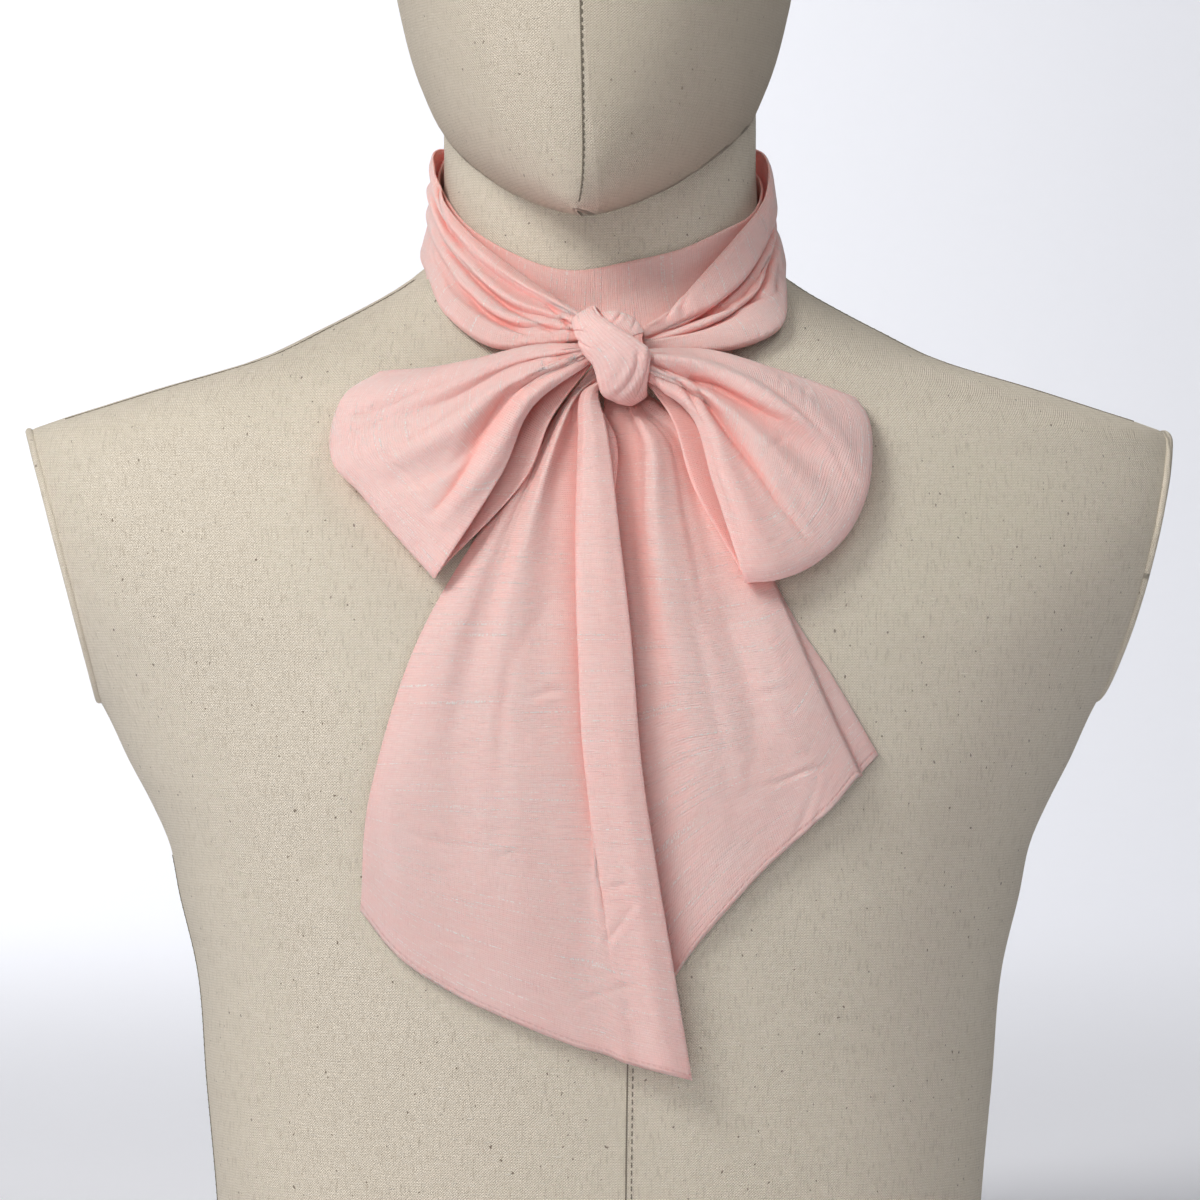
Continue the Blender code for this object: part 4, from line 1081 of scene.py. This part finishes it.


# The cloth's colours: two slow tones, between the threads, pale threads, slubs, and
# the painted fold shade: the red that light takes on deep in a fold, painted into the colour.
CLOTH_TONES = ((0.94, 0.53, 0.495), (0.96, 0.60, 0.57))
CLOTH_BETWEEN = (0.70, 0.33, 0.31)
CLOTH_PALE = (0.92, 0.70, 0.68)
CLOTH_SLUB = (0.98, 0.88, 0.86)
CLOTH_PAINTED_FOLD_SHADE = (0.94, 0.28, 0.23)
LINEN_TONES = ((0.78, 0.71, 0.59), (0.86, 0.785, 0.66))
LINEN_PALE = (0.89, 0.83, 0.73)
LINEN_BETWEEN = (0.43, 0.365, 0.28)
LINEN_FLECK = (0.13, 0.09, 0.06)
# What the head's front measures round its middle.
HEAD_RADIUS = 90.0


class Tree:
    """A material's node tree, built up by short calls."""

    def __init__(self, name):
        self.material = bpy.data.materials.new(name)
        self.material.use_nodes = True
        self.nodes = self.material.node_tree.nodes
        self.links = self.material.node_tree.links
        self.shader = self.nodes["Principled BSDF"]

    def put(self, socket, value):
        """Sets a socket, or links another node's socket to it."""
        if isinstance(value, bpy.types.NodeSocket):
            self.links.new(value, socket)
        else:
            socket.default_value = value

    def math(self, operation, *values, clamp=False):
        node = self.nodes.new("ShaderNodeMath")
        node.operation = operation
        node.use_clamp = clamp
        for socket, value in zip(node.inputs, values):
            self.put(socket, value)
        return node.outputs[0]

    def scaled(self, vector, factors):
        """A vector stretched by three factors."""
        node = self.nodes.new("ShaderNodeVectorMath")
        node.operation = "MULTIPLY"
        self.put(node.inputs[0], vector)
        node.inputs[1].default_value = factors
        return node.outputs[0]

    def noise(self, vector, scale, detail=2.0, roughness=0.5):
        node = self.nodes.new("ShaderNodeTexNoise")
        self.put(node.inputs["Vector"], vector)
        node.inputs["Scale"].default_value = scale
        node.inputs["Detail"].default_value = detail
        node.inputs["Roughness"].default_value = roughness
        return node.outputs["Fac"]

    def ramp(self, value, low, high, out_low=0.0, out_high=1.0):
        """A value moved from one range to another, held at its ends, with soft ends."""
        node = self.nodes.new("ShaderNodeMapRange")
        node.interpolation_type = "SMOOTHSTEP"
        self.put(node.inputs["Value"], value)
        node.inputs["From Min"].default_value = low
        node.inputs["From Max"].default_value = high
        node.inputs["To Min"].default_value = out_low
        node.inputs["To Max"].default_value = out_high
        return node.outputs["Result"]

    def mix(self, share, first, second):
        """A colour between two colours."""
        node = self.nodes.new("ShaderNodeMix")
        node.data_type = "RGBA"
        self.put(node.inputs["Factor"], share)
        for name, value in (("A", first), ("B", second)):
            socket = [s for s in node.inputs if s.name == name and s.type == "RGBA"][0]
            self.put(socket, (*value, 1.0) if isinstance(value, tuple) else value)
        return [s for s in node.outputs if s.type == "RGBA"][0]

    def attribute(self, name):
        node = self.nodes.new("ShaderNodeAttribute")
        node.attribute_name = name
        return node.outputs["Vector"]

    def openness_for_painted_shade(self, distance):
        """How open the surface lies, by ambient occlusion: 0 deep in a fold, 1 on a free face. It sets where fold
        shade is painted.
        """
        node = self.nodes.new("ShaderNodeAmbientOcclusion")
        node.samples = 1
        node.inputs["Distance"].default_value = distance
        return node.outputs["AO"]

    def apart(self, vector):
        node = self.nodes.new("ShaderNodeSeparateXYZ")
        self.put(node.inputs[0], vector)
        return node.outputs[0], node.outputs[1], node.outputs[2]

    def bump(self, height, distance, strength=1.0, under=None):
        node = self.nodes.new("ShaderNodeBump")
        self.put(node.inputs["Height"], height)
        node.inputs["Distance"].default_value = distance
        node.inputs["Strength"].default_value = strength
        if under is not None:
            self.put(node.inputs["Normal"], under)
        return node.outputs["Normal"]

    def finish(self, colour, normal, roughness, **constants):
        self.put(self.shader.inputs["Base Color"], colour)
        self.put(self.shader.inputs["Roughness"], roughness)
        self.put(self.shader.inputs["Normal"], normal)
        for name, value in constants.items():
            self.shader.inputs[name.replace("_", " ")].default_value = value
        return self.material


def slub_cloth():
    """Light pink cloth: fine ribs across it, and long dotted pale slubs along the ribs."""
    tree = Tree("pink_slub_cloth")
    place = tree.attribute("weave")
    u, v, _ = tree.apart(place)
    waver = tree.math("MULTIPLY", tree.noise(place, 0.05, 2.0, 0.5), 9.0)
    ribs = tree.math("SINE", tree.math("ADD", tree.math("MULTIPLY", v, 7.4), waver))
    threads = tree.math("SINE", tree.math("ADD", tree.math("MULTIPLY", u, 8.6), waver))
    weft = tree.noise(tree.scaled(place, (0.16, 2.4, 1.0)), 1.0, 3.0, 0.6)
    warp = tree.noise(tree.scaled(place, (2.2, 0.16, 1.0)), 1.0, 2.0, 0.5)
    line = tree.noise(tree.scaled(place, (0.016, 1.15, 1.0)), 1.0, 1.0, 0.4)
    dots = tree.noise(tree.scaled(place, (1.3, 0.8, 1.0)), 1.0, 1.0, 0.6)
    slub = tree.math("MULTIPLY", tree.ramp(line, 0.61, 0.68), tree.ramp(dots, 0.44, 0.62))
    short = tree.ramp(tree.noise(tree.scaled(place, (0.45, 2.4, 1.0)), 1.0, 2.0, 0.5), 0.6, 0.74)
    cloudy = tree.noise(place, 0.035, 2.0, 0.5)
    crumple = tree.noise(tree.scaled(place, (0.17, 0.24, 1.0)), 1.0, 2.0, 0.45)
    colour = tree.mix(cloudy, CLOTH_TONES[0], CLOTH_TONES[1])
    colour = tree.mix(tree.ramp(ribs, -1.0, 1.0, 0.16, 0.0), colour, CLOTH_BETWEEN)
    colour = tree.mix(tree.ramp(threads, -1.0, 1.0, 0.07, 0.0), colour, CLOTH_BETWEEN)
    colour = tree.mix(tree.ramp(weft, 0.35, 0.75, 0.0, 0.34), colour, CLOTH_PALE)
    colour = tree.mix(tree.ramp(warp, 0.52, 0.8, 0.0, 0.3), colour, CLOTH_BETWEEN)
    colour = tree.mix(tree.math("MULTIPLY", short, 0.38), colour, CLOTH_SLUB)
    colour = tree.mix(tree.math("MULTIPLY", slub, 0.7), colour, CLOTH_SLUB)
    deep, from_edge, _ = tree.apart(tree.attribute("crease"))
    beside = tree.math("ABSOLUTE", tree.math("SUBTRACT", from_edge, HEM_STITCHES))
    groove = tree.ramp(beside, 0.1, 0.6, 1.0, 0.0)
    stitch = tree.math("SINE", tree.math("MULTIPLY", u, 2.9))
    sewn = tree.math("MULTIPLY", groove, tree.ramp(stitch, -0.6, 0.4, 0.35, 1.0))
    pucker = tree.math("MULTIPLY", tree.ramp(from_edge, 0.5, 7.0, 1.0, 0.0), weft)
    colour = tree.mix(tree.math("MULTIPLY", sewn, 0.4), colour, CLOTH_BETWEEN)
    # Painted shade: the colour turns a painted red in the pressed creases and where a fold closes round the
    # surface, for the light that bounces and shines through deep in the cloth's folds.
    colour = tree.mix(tree.ramp(deep, 0.4, 2.0, 0.0, 0.42), colour, CLOTH_PAINTED_FOLD_SHADE)
    colour = tree.mix(tree.ramp(tree.openness_for_painted_shade(0.04), 0.04, 0.9, 0.25, 1.0), CLOTH_PAINTED_FOLD_SHADE, colour)
    height = tree.math("MULTIPLY", tree.math("ADD", ribs, tree.math("MULTIPLY", threads, 0.5)), 0.17)
    height = tree.math("ADD", height, tree.math("MULTIPLY", weft, 0.9))
    height = tree.math("ADD", height, tree.math("MULTIPLY", slub, 0.8))
    height = tree.math("SUBTRACT", height, tree.math("MULTIPLY", sewn, 1.2))
    height = tree.math("ADD", height, pucker)
    height = tree.math("ADD", height, tree.math("MULTIPLY", crumple, 1.5))
    return tree.finish(
        colour,
        tree.bump(height, 0.00028, 1.0),
        0.75,
        Sheen_Weight=0.3,
        Sheen_Roughness=0.45,
        Sheen_Tint=(1.0, 0.9, 0.88, 1.0),
        Subsurface_Weight=0.6,
        Subsurface_Radius=(1.0, 0.4, 0.35),
        Subsurface_Scale=0.0035,
        Specular_IOR_Level=0.3,
    )


def linen():
    """Coarse unbleached canvas with slubs and dark specks."""
    tree = Tree("form_linen")
    place = tree.attribute("weave")
    u, v, _ = tree.apart(place)
    shift = tree.math("MULTIPLY", tree.noise(place, 0.12, 2.0, 0.5), 6.0)
    across = tree.math("SINE", tree.math("ADD", tree.math("MULTIPLY", u, 6.0), shift))
    up = tree.math("SINE", tree.math("ADD", tree.math("MULTIPLY", v, 6.3), shift))
    weave = tree.math("MULTIPLY", across, up)
    weft = tree.noise(tree.scaled(place, (0.16, 1.2, 1.0)), 1.0, 3.0, 0.65)
    warp = tree.noise(tree.scaled(place, (1.2, 0.16, 1.0)), 1.0, 3.0, 0.65)
    nubs = tree.noise(tree.scaled(place, (0.9, 1.5, 1.0)), 1.0, 2.0, 0.6)
    fleck = tree.ramp(tree.noise(tree.scaled(place, (0.5, 0.42, 1.0)), 1.0, 1.0, 0.5), 0.73, 0.77)
    slub = tree.ramp(tree.noise(tree.scaled(place, (0.16, 0.8, 1.0)), 1.0, 1.0, 0.5), 0.72, 0.78)
    cloudy = tree.noise(place, 0.02, 3.0, 0.5)
    colour = tree.mix(cloudy, LINEN_TONES[0], LINEN_TONES[1])
    colour = tree.mix(tree.ramp(weft, 0.42, 0.72, 0.0, 0.55), colour, LINEN_PALE)
    colour = tree.mix(tree.ramp(warp, 0.5, 0.74, 0.0, 0.5), colour, LINEN_BETWEEN)
    colour = tree.mix(tree.ramp(weave, -1.0, 0.8, 0.5, 0.0), colour, LINEN_BETWEEN)
    colour = tree.mix(tree.ramp(up, -1.0, 0.4, 0.2, 0.0), colour, LINEN_BETWEEN)
    colour = tree.mix(tree.ramp(nubs, 0.56, 0.72, 0.0, 0.4), colour, LINEN_BETWEEN)
    colour = tree.mix(tree.math("MULTIPLY", slub, 0.6), colour, LINEN_PALE)
    colour = tree.mix(tree.math("MULTIPLY", fleck, 0.75), colour, LINEN_FLECK)
    # Right of its centre seam the head's linen is darker.
    on_head, past_seam, _ = tree.apart(tree.attribute("tone"))
    before_back = tree.ramp(past_seam, 90.0, 120.0, 1.0, 0.0)
    past_seam = tree.math("MULTIPLY", tree.ramp(past_seam, -0.1, 0.1), before_back)
    side = tree.math("MULTIPLY", on_head, past_seam)
    colour = tree.mix(tree.math("MULTIPLY", on_head, 0.24), colour, LINEN_BETWEEN)
    colour = tree.mix(tree.math("MULTIPLY", side, 0.3), colour, LINEN_BETWEEN)
    height = tree.math("ADD", tree.math("MULTIPLY", weave, 0.4), tree.math("MULTIPLY", weft, 0.9))
    height = tree.math("ADD", height, tree.math("MULTIPLY", warp, 0.8))
    height = tree.math("ADD", height, tree.math("MULTIPLY", slub, 0.8))
    return tree.finish(
        colour,
        tree.bump(height, 0.00045, 0.95),
        0.95,
        Sheen_Weight=0.08,
        Specular_IOR_Level=0.2,
    )


def plate_plastic():
    """Matt off-white plastic with a faint cast grain."""
    tree = Tree("arm_plate_plastic")
    coordinates = tree.nodes.new("ShaderNodeTexCoord").outputs["Object"]
    grain = tree.noise(coordinates, 900.0, 3.0, 0.6)
    wear = tree.noise(coordinates, 40.0, 4.0, 0.6)
    colour = tree.mix(tree.ramp(wear, 0.5, 0.8), (0.80, 0.79, 0.76), (0.70, 0.68, 0.63))
    return tree.finish(colour, tree.bump(grain, 0.0001, 0.4), tree.ramp(wear, 0.3, 0.8, 0.42, 0.6))


def thread_material():
    """Dull brown sewing thread with a twist."""
    tree = Tree("sewing_thread")
    u, v, _ = tree.apart(tree.attribute("weave"))
    twist = tree.math("SINE", tree.math("ADD", tree.math("MULTIPLY", v, 9.0), u))
    colour = tree.mix(tree.ramp(twist, -1.0, 1.0), (0.13, 0.11, 0.08), (0.27, 0.235, 0.18))
    return tree.finish(colour, tree.bump(twist, 0.0001, 0.6), 0.8)


def backdrop_paper():
    """The pale studio paper of the floor and the wall behind."""
    tree = Tree("studio_paper")
    coordinates = tree.nodes.new("ShaderNodeTexCoord").outputs["Object"]
    fibre = tree.noise(coordinates, 60.0, 2.0, 0.5)
    colour = tree.mix(fibre, (0.865, 0.875, 0.925), (0.875, 0.885, 0.935))
    return tree.finish(colour, tree.bump(fibre, 0.0001, 0.1), 0.9)


def evaluated(obj, name):
    """A new object with the modifiers of another applied, in place of it."""
    bpy.context.view_layer.update()
    graph = bpy.context.evaluated_depsgraph_get()
    mesh = bpy.data.meshes.new_from_object(obj.evaluated_get(graph))
    made = bpy.data.objects.new(name, mesh)
    mesh.name = name
    bpy.context.scene.collection.objects.link(made)
    bpy.data.objects.remove(obj)
    return made


def boolean(obj, other, operation):
    cut = obj.modifiers.new(other.name, "BOOLEAN")
    cut.operation = operation
    cut.object = other


def on_head(degrees, height, out):
    """A point held off the head's surface, in a direction from its front."""
    x, y = section_point(HEAD, np.radians(degrees), height, out)
    x, y = turned(x, y, HEAD_TURN)
    return np.stack([x + HEAD_X, y + HEAD_Y, height + 0 * x], axis=-1)


def on_torso(degrees, height, out):
    """A point held off the torso's surface, in a direction from its front."""
    x, y = section_point(FORM_TORSO, np.radians(degrees), height, out)
    x, y = turned(x, y, TORSO_TURN)
    return np.stack([x, y, height + 0 * x], axis=-1)


# The form's seams: surface, name, then the places that each runs through as
# (degrees from the front, height).
SEAMS = [
    (on_head, "head_front", [(6.4, 403.5), (4.5, 430.0), (2.6, 478.0), (2.0, 540.0), (1.0, 600.0), (0.0, 622.0)]),
    (on_head, "head_back", [(180.0, 470.0), (180.0, 520.0), (180.0, 580.0), (180.0, 615.0)]),
    (on_torso, "front", [(0.5, 3.0), (0.5, 100.0), (0.5, 200.0), (0.5, 300.0), (0.5, 345.0)]),
    (on_torso, "back", [(180.0, 3.0), (180.0, 120.0), (180.0, 240.0), (180.0, 340.0), (180.0, 378.0)]),
    (on_torso, "shoulder_left", [(-76.0, 379.0), (-76.5, 363.0), (-77.0, 350.0), (-78.0, 338.0), (-80.0, 327.0)]),
    (on_torso, "shoulder_right", [(76.0, 379.0), (76.5, 363.0), (77.0, 350.0), (78.0, 338.0), (80.0, 327.0)]),
    (on_torso, "side_left", [(-90.0, 3.0), (-90.0, 60.0), (-90.0, 120.0), (-90.0, 165.0)]),
    (on_torso, "side_right", [(90.0, 3.0), (90.0, 60.0), (90.0, 120.0), (90.0, 165.0)]),
]
STITCH_LONG = 1.7
STITCH_EVERY = 2.9
STITCH_RADIUS = 0.28
SEAM_RADIUS = 0.3
STITCH_BESIDE = 0.9


def stitches(name, low, high):
    """A row of stitches between two lines: the low one lies on the linen, and the high
    one is as far off it as the thread stands."""
    run = np.concatenate([[0.0], np.cumsum(np.linalg.norm(np.diff(low, axis=0), axis=1))])
    turn = np.linspace(0.0, 2 * np.pi, 6, endpoint=False)
    points, faces, weave = [], [], []
    for start in np.arange(0.5, run[-1] - STITCH_LONG, STITCH_EVERY):
        share = np.linspace(0.0, 1.0, 5)
        middle = np.stack([np.interp(start + share * STITCH_LONG, run, column) for column in low.T], axis=-1)
        above = np.stack([np.interp(start + share * STITCH_LONG, run, column) for column in high.T], axis=-1)
        middle = middle + (above - middle) * (1.6 * np.sin(np.pi * share) - 0.8)[:, None]
        ahead = np.gradient(middle, axis=0)
        ahead /= np.linalg.norm(ahead, axis=1, keepdims=True)
        side = np.cross(ahead, above - low[0])
        side /= np.linalg.norm(side, axis=1, keepdims=True)
        other = np.cross(ahead, side)
        ring = np.cos(turn)[None, :, None] * side[:, None] + np.sin(turn)[None, :, None] * other[:, None]
        first = sum(len(block) for block in points)
        points.append((middle[:, None] + STITCH_RADIUS * ring).reshape(-1, 3))
        i, j = np.meshgrid(np.arange(len(share) - 1), np.arange(len(turn)), indexing="ij")
        k = (j + 1) % len(turn)
        quads = np.stack([i * 6 + j, i * 6 + k, (i + 1) * 6 + k, (i + 1) * 6 + j], -1)
        faces.append(quads.reshape(-1, 4) + first)
        u = np.broadcast_to(turn[None, :], (len(share), len(turn)))
        v = np.broadcast_to(start + share[:, None] * STITCH_LONG, u.shape)
        weave.append(np.stack([u, v, 0 * u + 700.0], axis=-1).reshape(-1, 3))
    obj = new_object(name, np.concatenate(points), np.concatenate(faces))
    store(obj, "weave", np.concatenate(weave))
    return obj


def form_seams(thread):
    """The form's seams: a dark line where two panels meet, and stitches along it."""
    for surface, name, places in SEAMS:
        degrees, height = through(places, 1.5).T
        line = surface(degrees, height, SEAM_RADIUS * 0.2)
        finished(tube(f"seam_{name}", line, SEAM_RADIUS, False, 6), thread, "linen")
        beside = degrees + np.degrees(STITCH_BESIDE / np.maximum(np.hypot(line[:, 0], line[:, 1]), 40.0))
        low, high = surface(beside, height, 0.0), surface(beside, height, STITCH_RADIUS)
        finished(stitches(f"stitches_{name}", low, high), thread, "linen")


def form_cover(canvas, thread):
    """The linen-covered body, with cords along its arm ends, and its seams."""
    torso_heights = np.unique(np.concatenate([np.arange(0.0, 480.0, FORM_STEP), [480.0]]))
    top = HEAD[0][0]
    chin = [np.arange(top, 404.0, 0.4), np.arange(404.0, 420.0, 1.0)]
    head_heights = np.concatenate([*chin, np.arange(420.0, CROWN_FROM, FORM_STEP)])
    crown = HEAD[-1][0] - CROWN_FROM
    head_heights = np.concatenate(
        [head_heights, CROWN_FROM + crown * np.sin(np.linspace(0.0, np.pi / 2, 30))]
    )
    torso = form_loft("torso", FORM_TORSO, torso_heights, TORSO_TURN)
    cutters = [form_loft("head", HEAD, head_heights, HEAD_TURN, (HEAD_X, HEAD_Y))]
    boolean(torso, cutters[0], "UNION")
    slide = (ARM_CUT_Z - ARM_POCKET_Z) / math.cos(math.radians(ARM_CUT_LEAN))
    for side in (-1, 1):
        shape = bmesh.new()
        size = Matrix.Diagonal((*[s * MM for s in ARM_CUT_BOX], 1.0))
        bmesh.ops.create_cube(shape, size=1.0, matrix=size)
        beyond = arm_frame(side) @ Matrix.Translation(Vector(ARM_CUT_BOX_MIDDLE) * MM)
        cutters.append(from_bmesh(f"arm_cut_{side}", shape, beyond))
        boolean(torso, cutters[-1], "DIFFERENCE")
        middle = arm_frame(side) @ Matrix.Translation(Vector((0.0, 0.0, -slide)) * MM)
        pocket = oval_shape(ARM_POCKET_TALL, ARM_POCKET_WIDE, 2 * ARM_POCKET_DEEP)
        cutters.append(from_bmesh(f"arm_pocket_{side}", pocket, middle))
        boolean(torso, cutters[-1], "DIFFERENCE")
    body = evaluated(torso, "form_cover")
    for cutter in cutters:
        bpy.data.objects.remove(cutter)
    body.data.shade_smooth()
    body.data.set_sharp_from_angle(angle=math.radians(40))
    count = len(body.data.vertices)
    places = np.zeros(count * 3, dtype=np.float32)
    body.data.vertices.foreach_get("co", places)
    places = places.reshape(-1, 3) / MM
    neck_x, neck_y = turned(places[:, 0], places[:, 1], -TORSO_TURN)
    neck_deep = np.where(neck_y < 0, column(TORSO, places[:, 2], 2), column(TORSO, places[:, 2], 3))
    off_neck = np.hypot(neck_x / column(TORSO, places[:, 2], 1), neck_y / neck_deep)
    is_head = (places[:, 2] > HEAD[0][0]) & ((off_neck > 1.02) | (places[:, 2] > TORSO[-1][0]))
    on_neck = np.stack([neck_x, neck_y, places[:, 2]], axis=-1)
    head_x, head_y = turned(places[:, 0] - HEAD_X, places[:, 1] - HEAD_Y, -HEAD_TURN)
    head_angle = np.arctan2(head_x, -head_y)
    u = np.where(is_head, head_angle * HEAD_RADIUS, round_linen(on_neck, FORM_TORSO))
    store(body, "weave", np.stack([u, places[:, 2], 0 * u + 500.0], axis=-1))
    seam_degrees, seam_height = np.array(SEAMS[0][2]).T
    past_seam = np.degrees(head_angle) - np.interp(places[:, 2], seam_height, seam_degrees)
    store(body, "tone", np.stack([is_head, past_seam, 0 * u], axis=-1))
    finished(body, canvas, "linen", "form_body")
    for side, label in ((-1, "left"), (1, "right")):
        inverse = np.array(arm_frame(side).inverted())
        own = places * MM @ inverse[:3, :3].T + inverse[:3, 3]
        own /= MM
        y, z = own[:, 1], own[:, 2] + slide
        outside = np.hypot(y / (ARM_POCKET_WIDE + 1.0), z / (ARM_POCKET_TALL + 1.0)) > 1.0
        rim = places[(np.abs(own[:, 0]) < 0.01) & outside]
        around = np.arctan2(z, y)[(np.abs(own[:, 0]) < 0.01) & outside]
        order = np.argsort(around)
        rim = through(np.vstack([rim[order], rim[order][:1]]), 3.0)[:-1]
        finished(tube(f"arm_cord_{label}", rim, 1.5, True), canvas, "linen")
    form_seams(thread)
    return body


def scarf(finish):
    """Every stretch of the scarf that shows."""
    wrap = (WRAP_STEP, WRAP_FOLD_STEP)
    pieces = [
        (
            "throat_band",
            throat_band(THROAT_STEP, THROAT_LINES)[:, ::-1],
            THROAT_CREASES,
            THROAT_PRESSED,
            (0.0, 0.0, FOLDED, FOLDED),
        ),
        (
            "left_wrap",
            strand(LEFT_WRAP_SECTIONS, LEFT_WRAP_FOLDS, *wrap),
            LEFT_WRAP_CREASES,
            LEFT_WRAP_PRESSED,
            (0.0, 0.0, FOLDED, FOLDED),
        ),
        (
            "right_wrap",
            strand(RIGHT_WRAP_SECTIONS, RIGHT_WRAP_FOLDS, *wrap)[:, ::-1],
            RIGHT_WRAP_CREASES,
            RIGHT_WRAP_PRESSED,
            (0.0, 0.0, FOLDED, FOLDED),
        ),
        (
            "left_loop",
            draped(loop_lines(LEFT_LOOP), *LOOP_STEPS),
            LEFT_LOOP_CREASES,
            LEFT_LOOP_PRESSED,
            (0.0, 0.0, FOLDED, FOLDED),
        ),
        (
            "right_loop",
            draped(loop_lines(RIGHT_LOOP), *LOOP_STEPS)[:, ::-1],
            RIGHT_LOOP_CREASES,
            RIGHT_LOOP_PRESSED,
            (0.0, 0.0, FOLDED, FOLDED),
        ),
        (
            "front_tail",
            draped(tail_lines(FRONT_TAIL, True, opens=True), *TAIL_STEPS),
            FRONT_TAIL_CREASES,
            FRONT_TAIL_PRESSED,
            (0.0, HEM, FOLDED, FOLDED),
        ),
        (
            "back_tail",
            draped(tail_lines(BACK_TAIL, False), *TAIL_STEPS),
            BACK_TAIL_CREASES,
            BACK_TAIL_PRESSED,
            (0.0, HEM, FOLDED, FOLDED),
        ),
    ]
    made = {}
    for number, (node, grid, creases, lines, edges) in enumerate(pieces):
        grid, deep = pressed(uneven(creased(grid, creases), 0.25, number), lines)
        hem = from_hem(grid) if edges[1] == HEM else NO_HEM
        piece = shell(f"{node}_cloth", grid, edges, number, deep=deep, hem=hem)
        made[node] = finished(piece, finish, "pink_cloth", node)
    band, deep = pressed(knot_band(*KNOT_BAND_POINTS), KNOT_PRESSED, closed=True)
    piece = shell("knot_band_cloth", band, (FOLDED, FOLDED, None, None), 8, closed=True, deep=deep)
    made["knot_band"] = finished(piece, finish, "pink_cloth", "knot_band")
    turn, deep = pressed(knot_back_turn(*BACK_TURN_POINTS), BACK_TURN_PRESSED)
    piece = shell("knot_back_turn_cloth", turn, (0.0, FOLDED, 0.0, 0.0), 9, deep=deep)
    made["knot_back_turn"] = finished(piece, finish, "pink_cloth", "knot_back_turn")
    return made


def knot_inside(finish):
    """The gathered cloth inside the band: a rounded bundle with ribs along the bow."""
    around = np.linspace(np.pi, 3 * np.pi, 96, endpoint=False)[None, :]
    lean = np.radians(np.linspace(-88.0, 88.0, 40))[:, None]
    ribs = 1.0 + 0.05 * np.sin(9 * around) + 0.03 * np.sin(16 * around + 1.0)
    half_along, half_ahead, half_up = KNOT_CORE
    x = half_along * np.sin(lean) + 0 * around
    ahead = half_ahead * np.cos(lean) * np.cos(around) * ribs
    up = half_up * np.cos(lean) * np.sin(around) * ribs
    grid = in_knot(np.stack([x, ahead, up], axis=-1))
    piece = shell("knot_inside_cloth", grid, (0.0, 0.0, None, None), 10, closed=True)
    finished(piece, finish, "pink_cloth", "knot_core")


def area_light(name, place, aim, size, power, colour=(1.0, 1.0, 1.0)):
    light = bpy.data.lights.new(name, "AREA")
    light.shape = "DISK"
    light.size = size
    light.energy = power
    light.color = colour
    obj = bpy.data.objects.new(name, light)
    obj.location = place
    obj.rotation_euler = (Vector(aim) - Vector(place)).to_track_quat("-Z", "Y").to_euler()
    obj.visible_camera = False
    bpy.context.scene.collection.objects.link(obj)


# The paper: how far it reaches, and the wall that it curves up into, behind where a
# camera at the part's back would stand.
PAPER_REACH = 5600.0
PAPER_BELOW = 0.5
WALL_Y = 5200.0
WALL_CURVE = 2400.0
WALL_TALL = 6000.0


def studio():
    """A pale floor that curves up into the wall behind, the lights and the camera."""
    profile = [(-PAPER_REACH, 0.0), (WALL_Y - WALL_CURVE, 0.0)]
    turn = np.linspace(0.0, np.pi / 2, 32)[1:]
    profile += [
        (WALL_Y - WALL_CURVE * (1.0 - math.sin(a)), WALL_CURVE * (1.0 - math.cos(a))) for a in turn
    ]
    profile += [(WALL_Y, WALL_TALL)]
    across = np.linspace(-PAPER_REACH, PAPER_REACH, 13)
    grid = np.array([[(x, y, z - PAPER_BELOW) for x in across] for y, z in profile])
    rows, columns = grid.shape[:2]
    i, j = np.meshgrid(np.arange(rows - 1), np.arange(columns - 1), indexing="ij")
    faces = np.stack([i * columns + j, i * columns + j + 1, (i + 1) * columns + j + 1, (i + 1) * columns + j], -1)
    paper = new_object("backdrop", grid.reshape(-1, 3), faces.reshape(-1, 4))
    paper.data.materials.append(backdrop_paper())
    world = bpy.data.worlds.new("studio")
    world.use_nodes = True
    world.node_tree.nodes["Background"].inputs[0].default_value = (1.0, 0.985, 0.97, 1.0)
    world.node_tree.nodes["Background"].inputs[1].default_value = 0.09
    bpy.context.scene.world = world
    area_light("key", (-1.22, -1.46, 1.72), (0.0, 0.0, 0.26), 0.9, 37.5, (1.0, 0.985, 0.96))
    area_light("front", (-0.5, -2.2, 0.6), (0.0, 0.0, 0.3), 1.2, 11.0, (1.0, 0.985, 0.97))
    area_light("fill", (0.9, -0.7, 2.3), (0.1, 0.0, 0.4), 0.9, 11.0)
    area_light("wall", (-1.7, 2.4, 3.1), (-0.3, 5.2, 0.8), 1.2, 114.0)
    area_light("floor", (-1.1, 1.9, 2.2), (-0.5, 1.9, 0.0), 1.0, 6.0)
    camera = bpy.data.objects.new("camera", bpy.data.cameras.new("camera"))
    camera.data.lens = 192.0
    camera.data.sensor_width = 36.0
    camera.location = (0.0, CAMERA_Y * MM, CAMERA_Z * MM)
    camera.rotation_euler = (math.radians(90), 0.0, 0.0)
    bpy.context.scene.collection.objects.link(camera)
    bpy.context.scene.camera = camera
    bpy.context.scene.view_settings.view_transform = "Standard"


def main():
    pink = slub_cloth()
    made = scarf(pink)
    knot_inside(pink)
    form_cover(linen(), thread_material())
    plastic = plate_plastic()
    for label in ("left", "right"):
        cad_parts[f"arm_plate_{label}"].data.materials.clear()
        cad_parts[f"arm_plate_{label}"].data.materials.append(plastic)
    studio()


main()
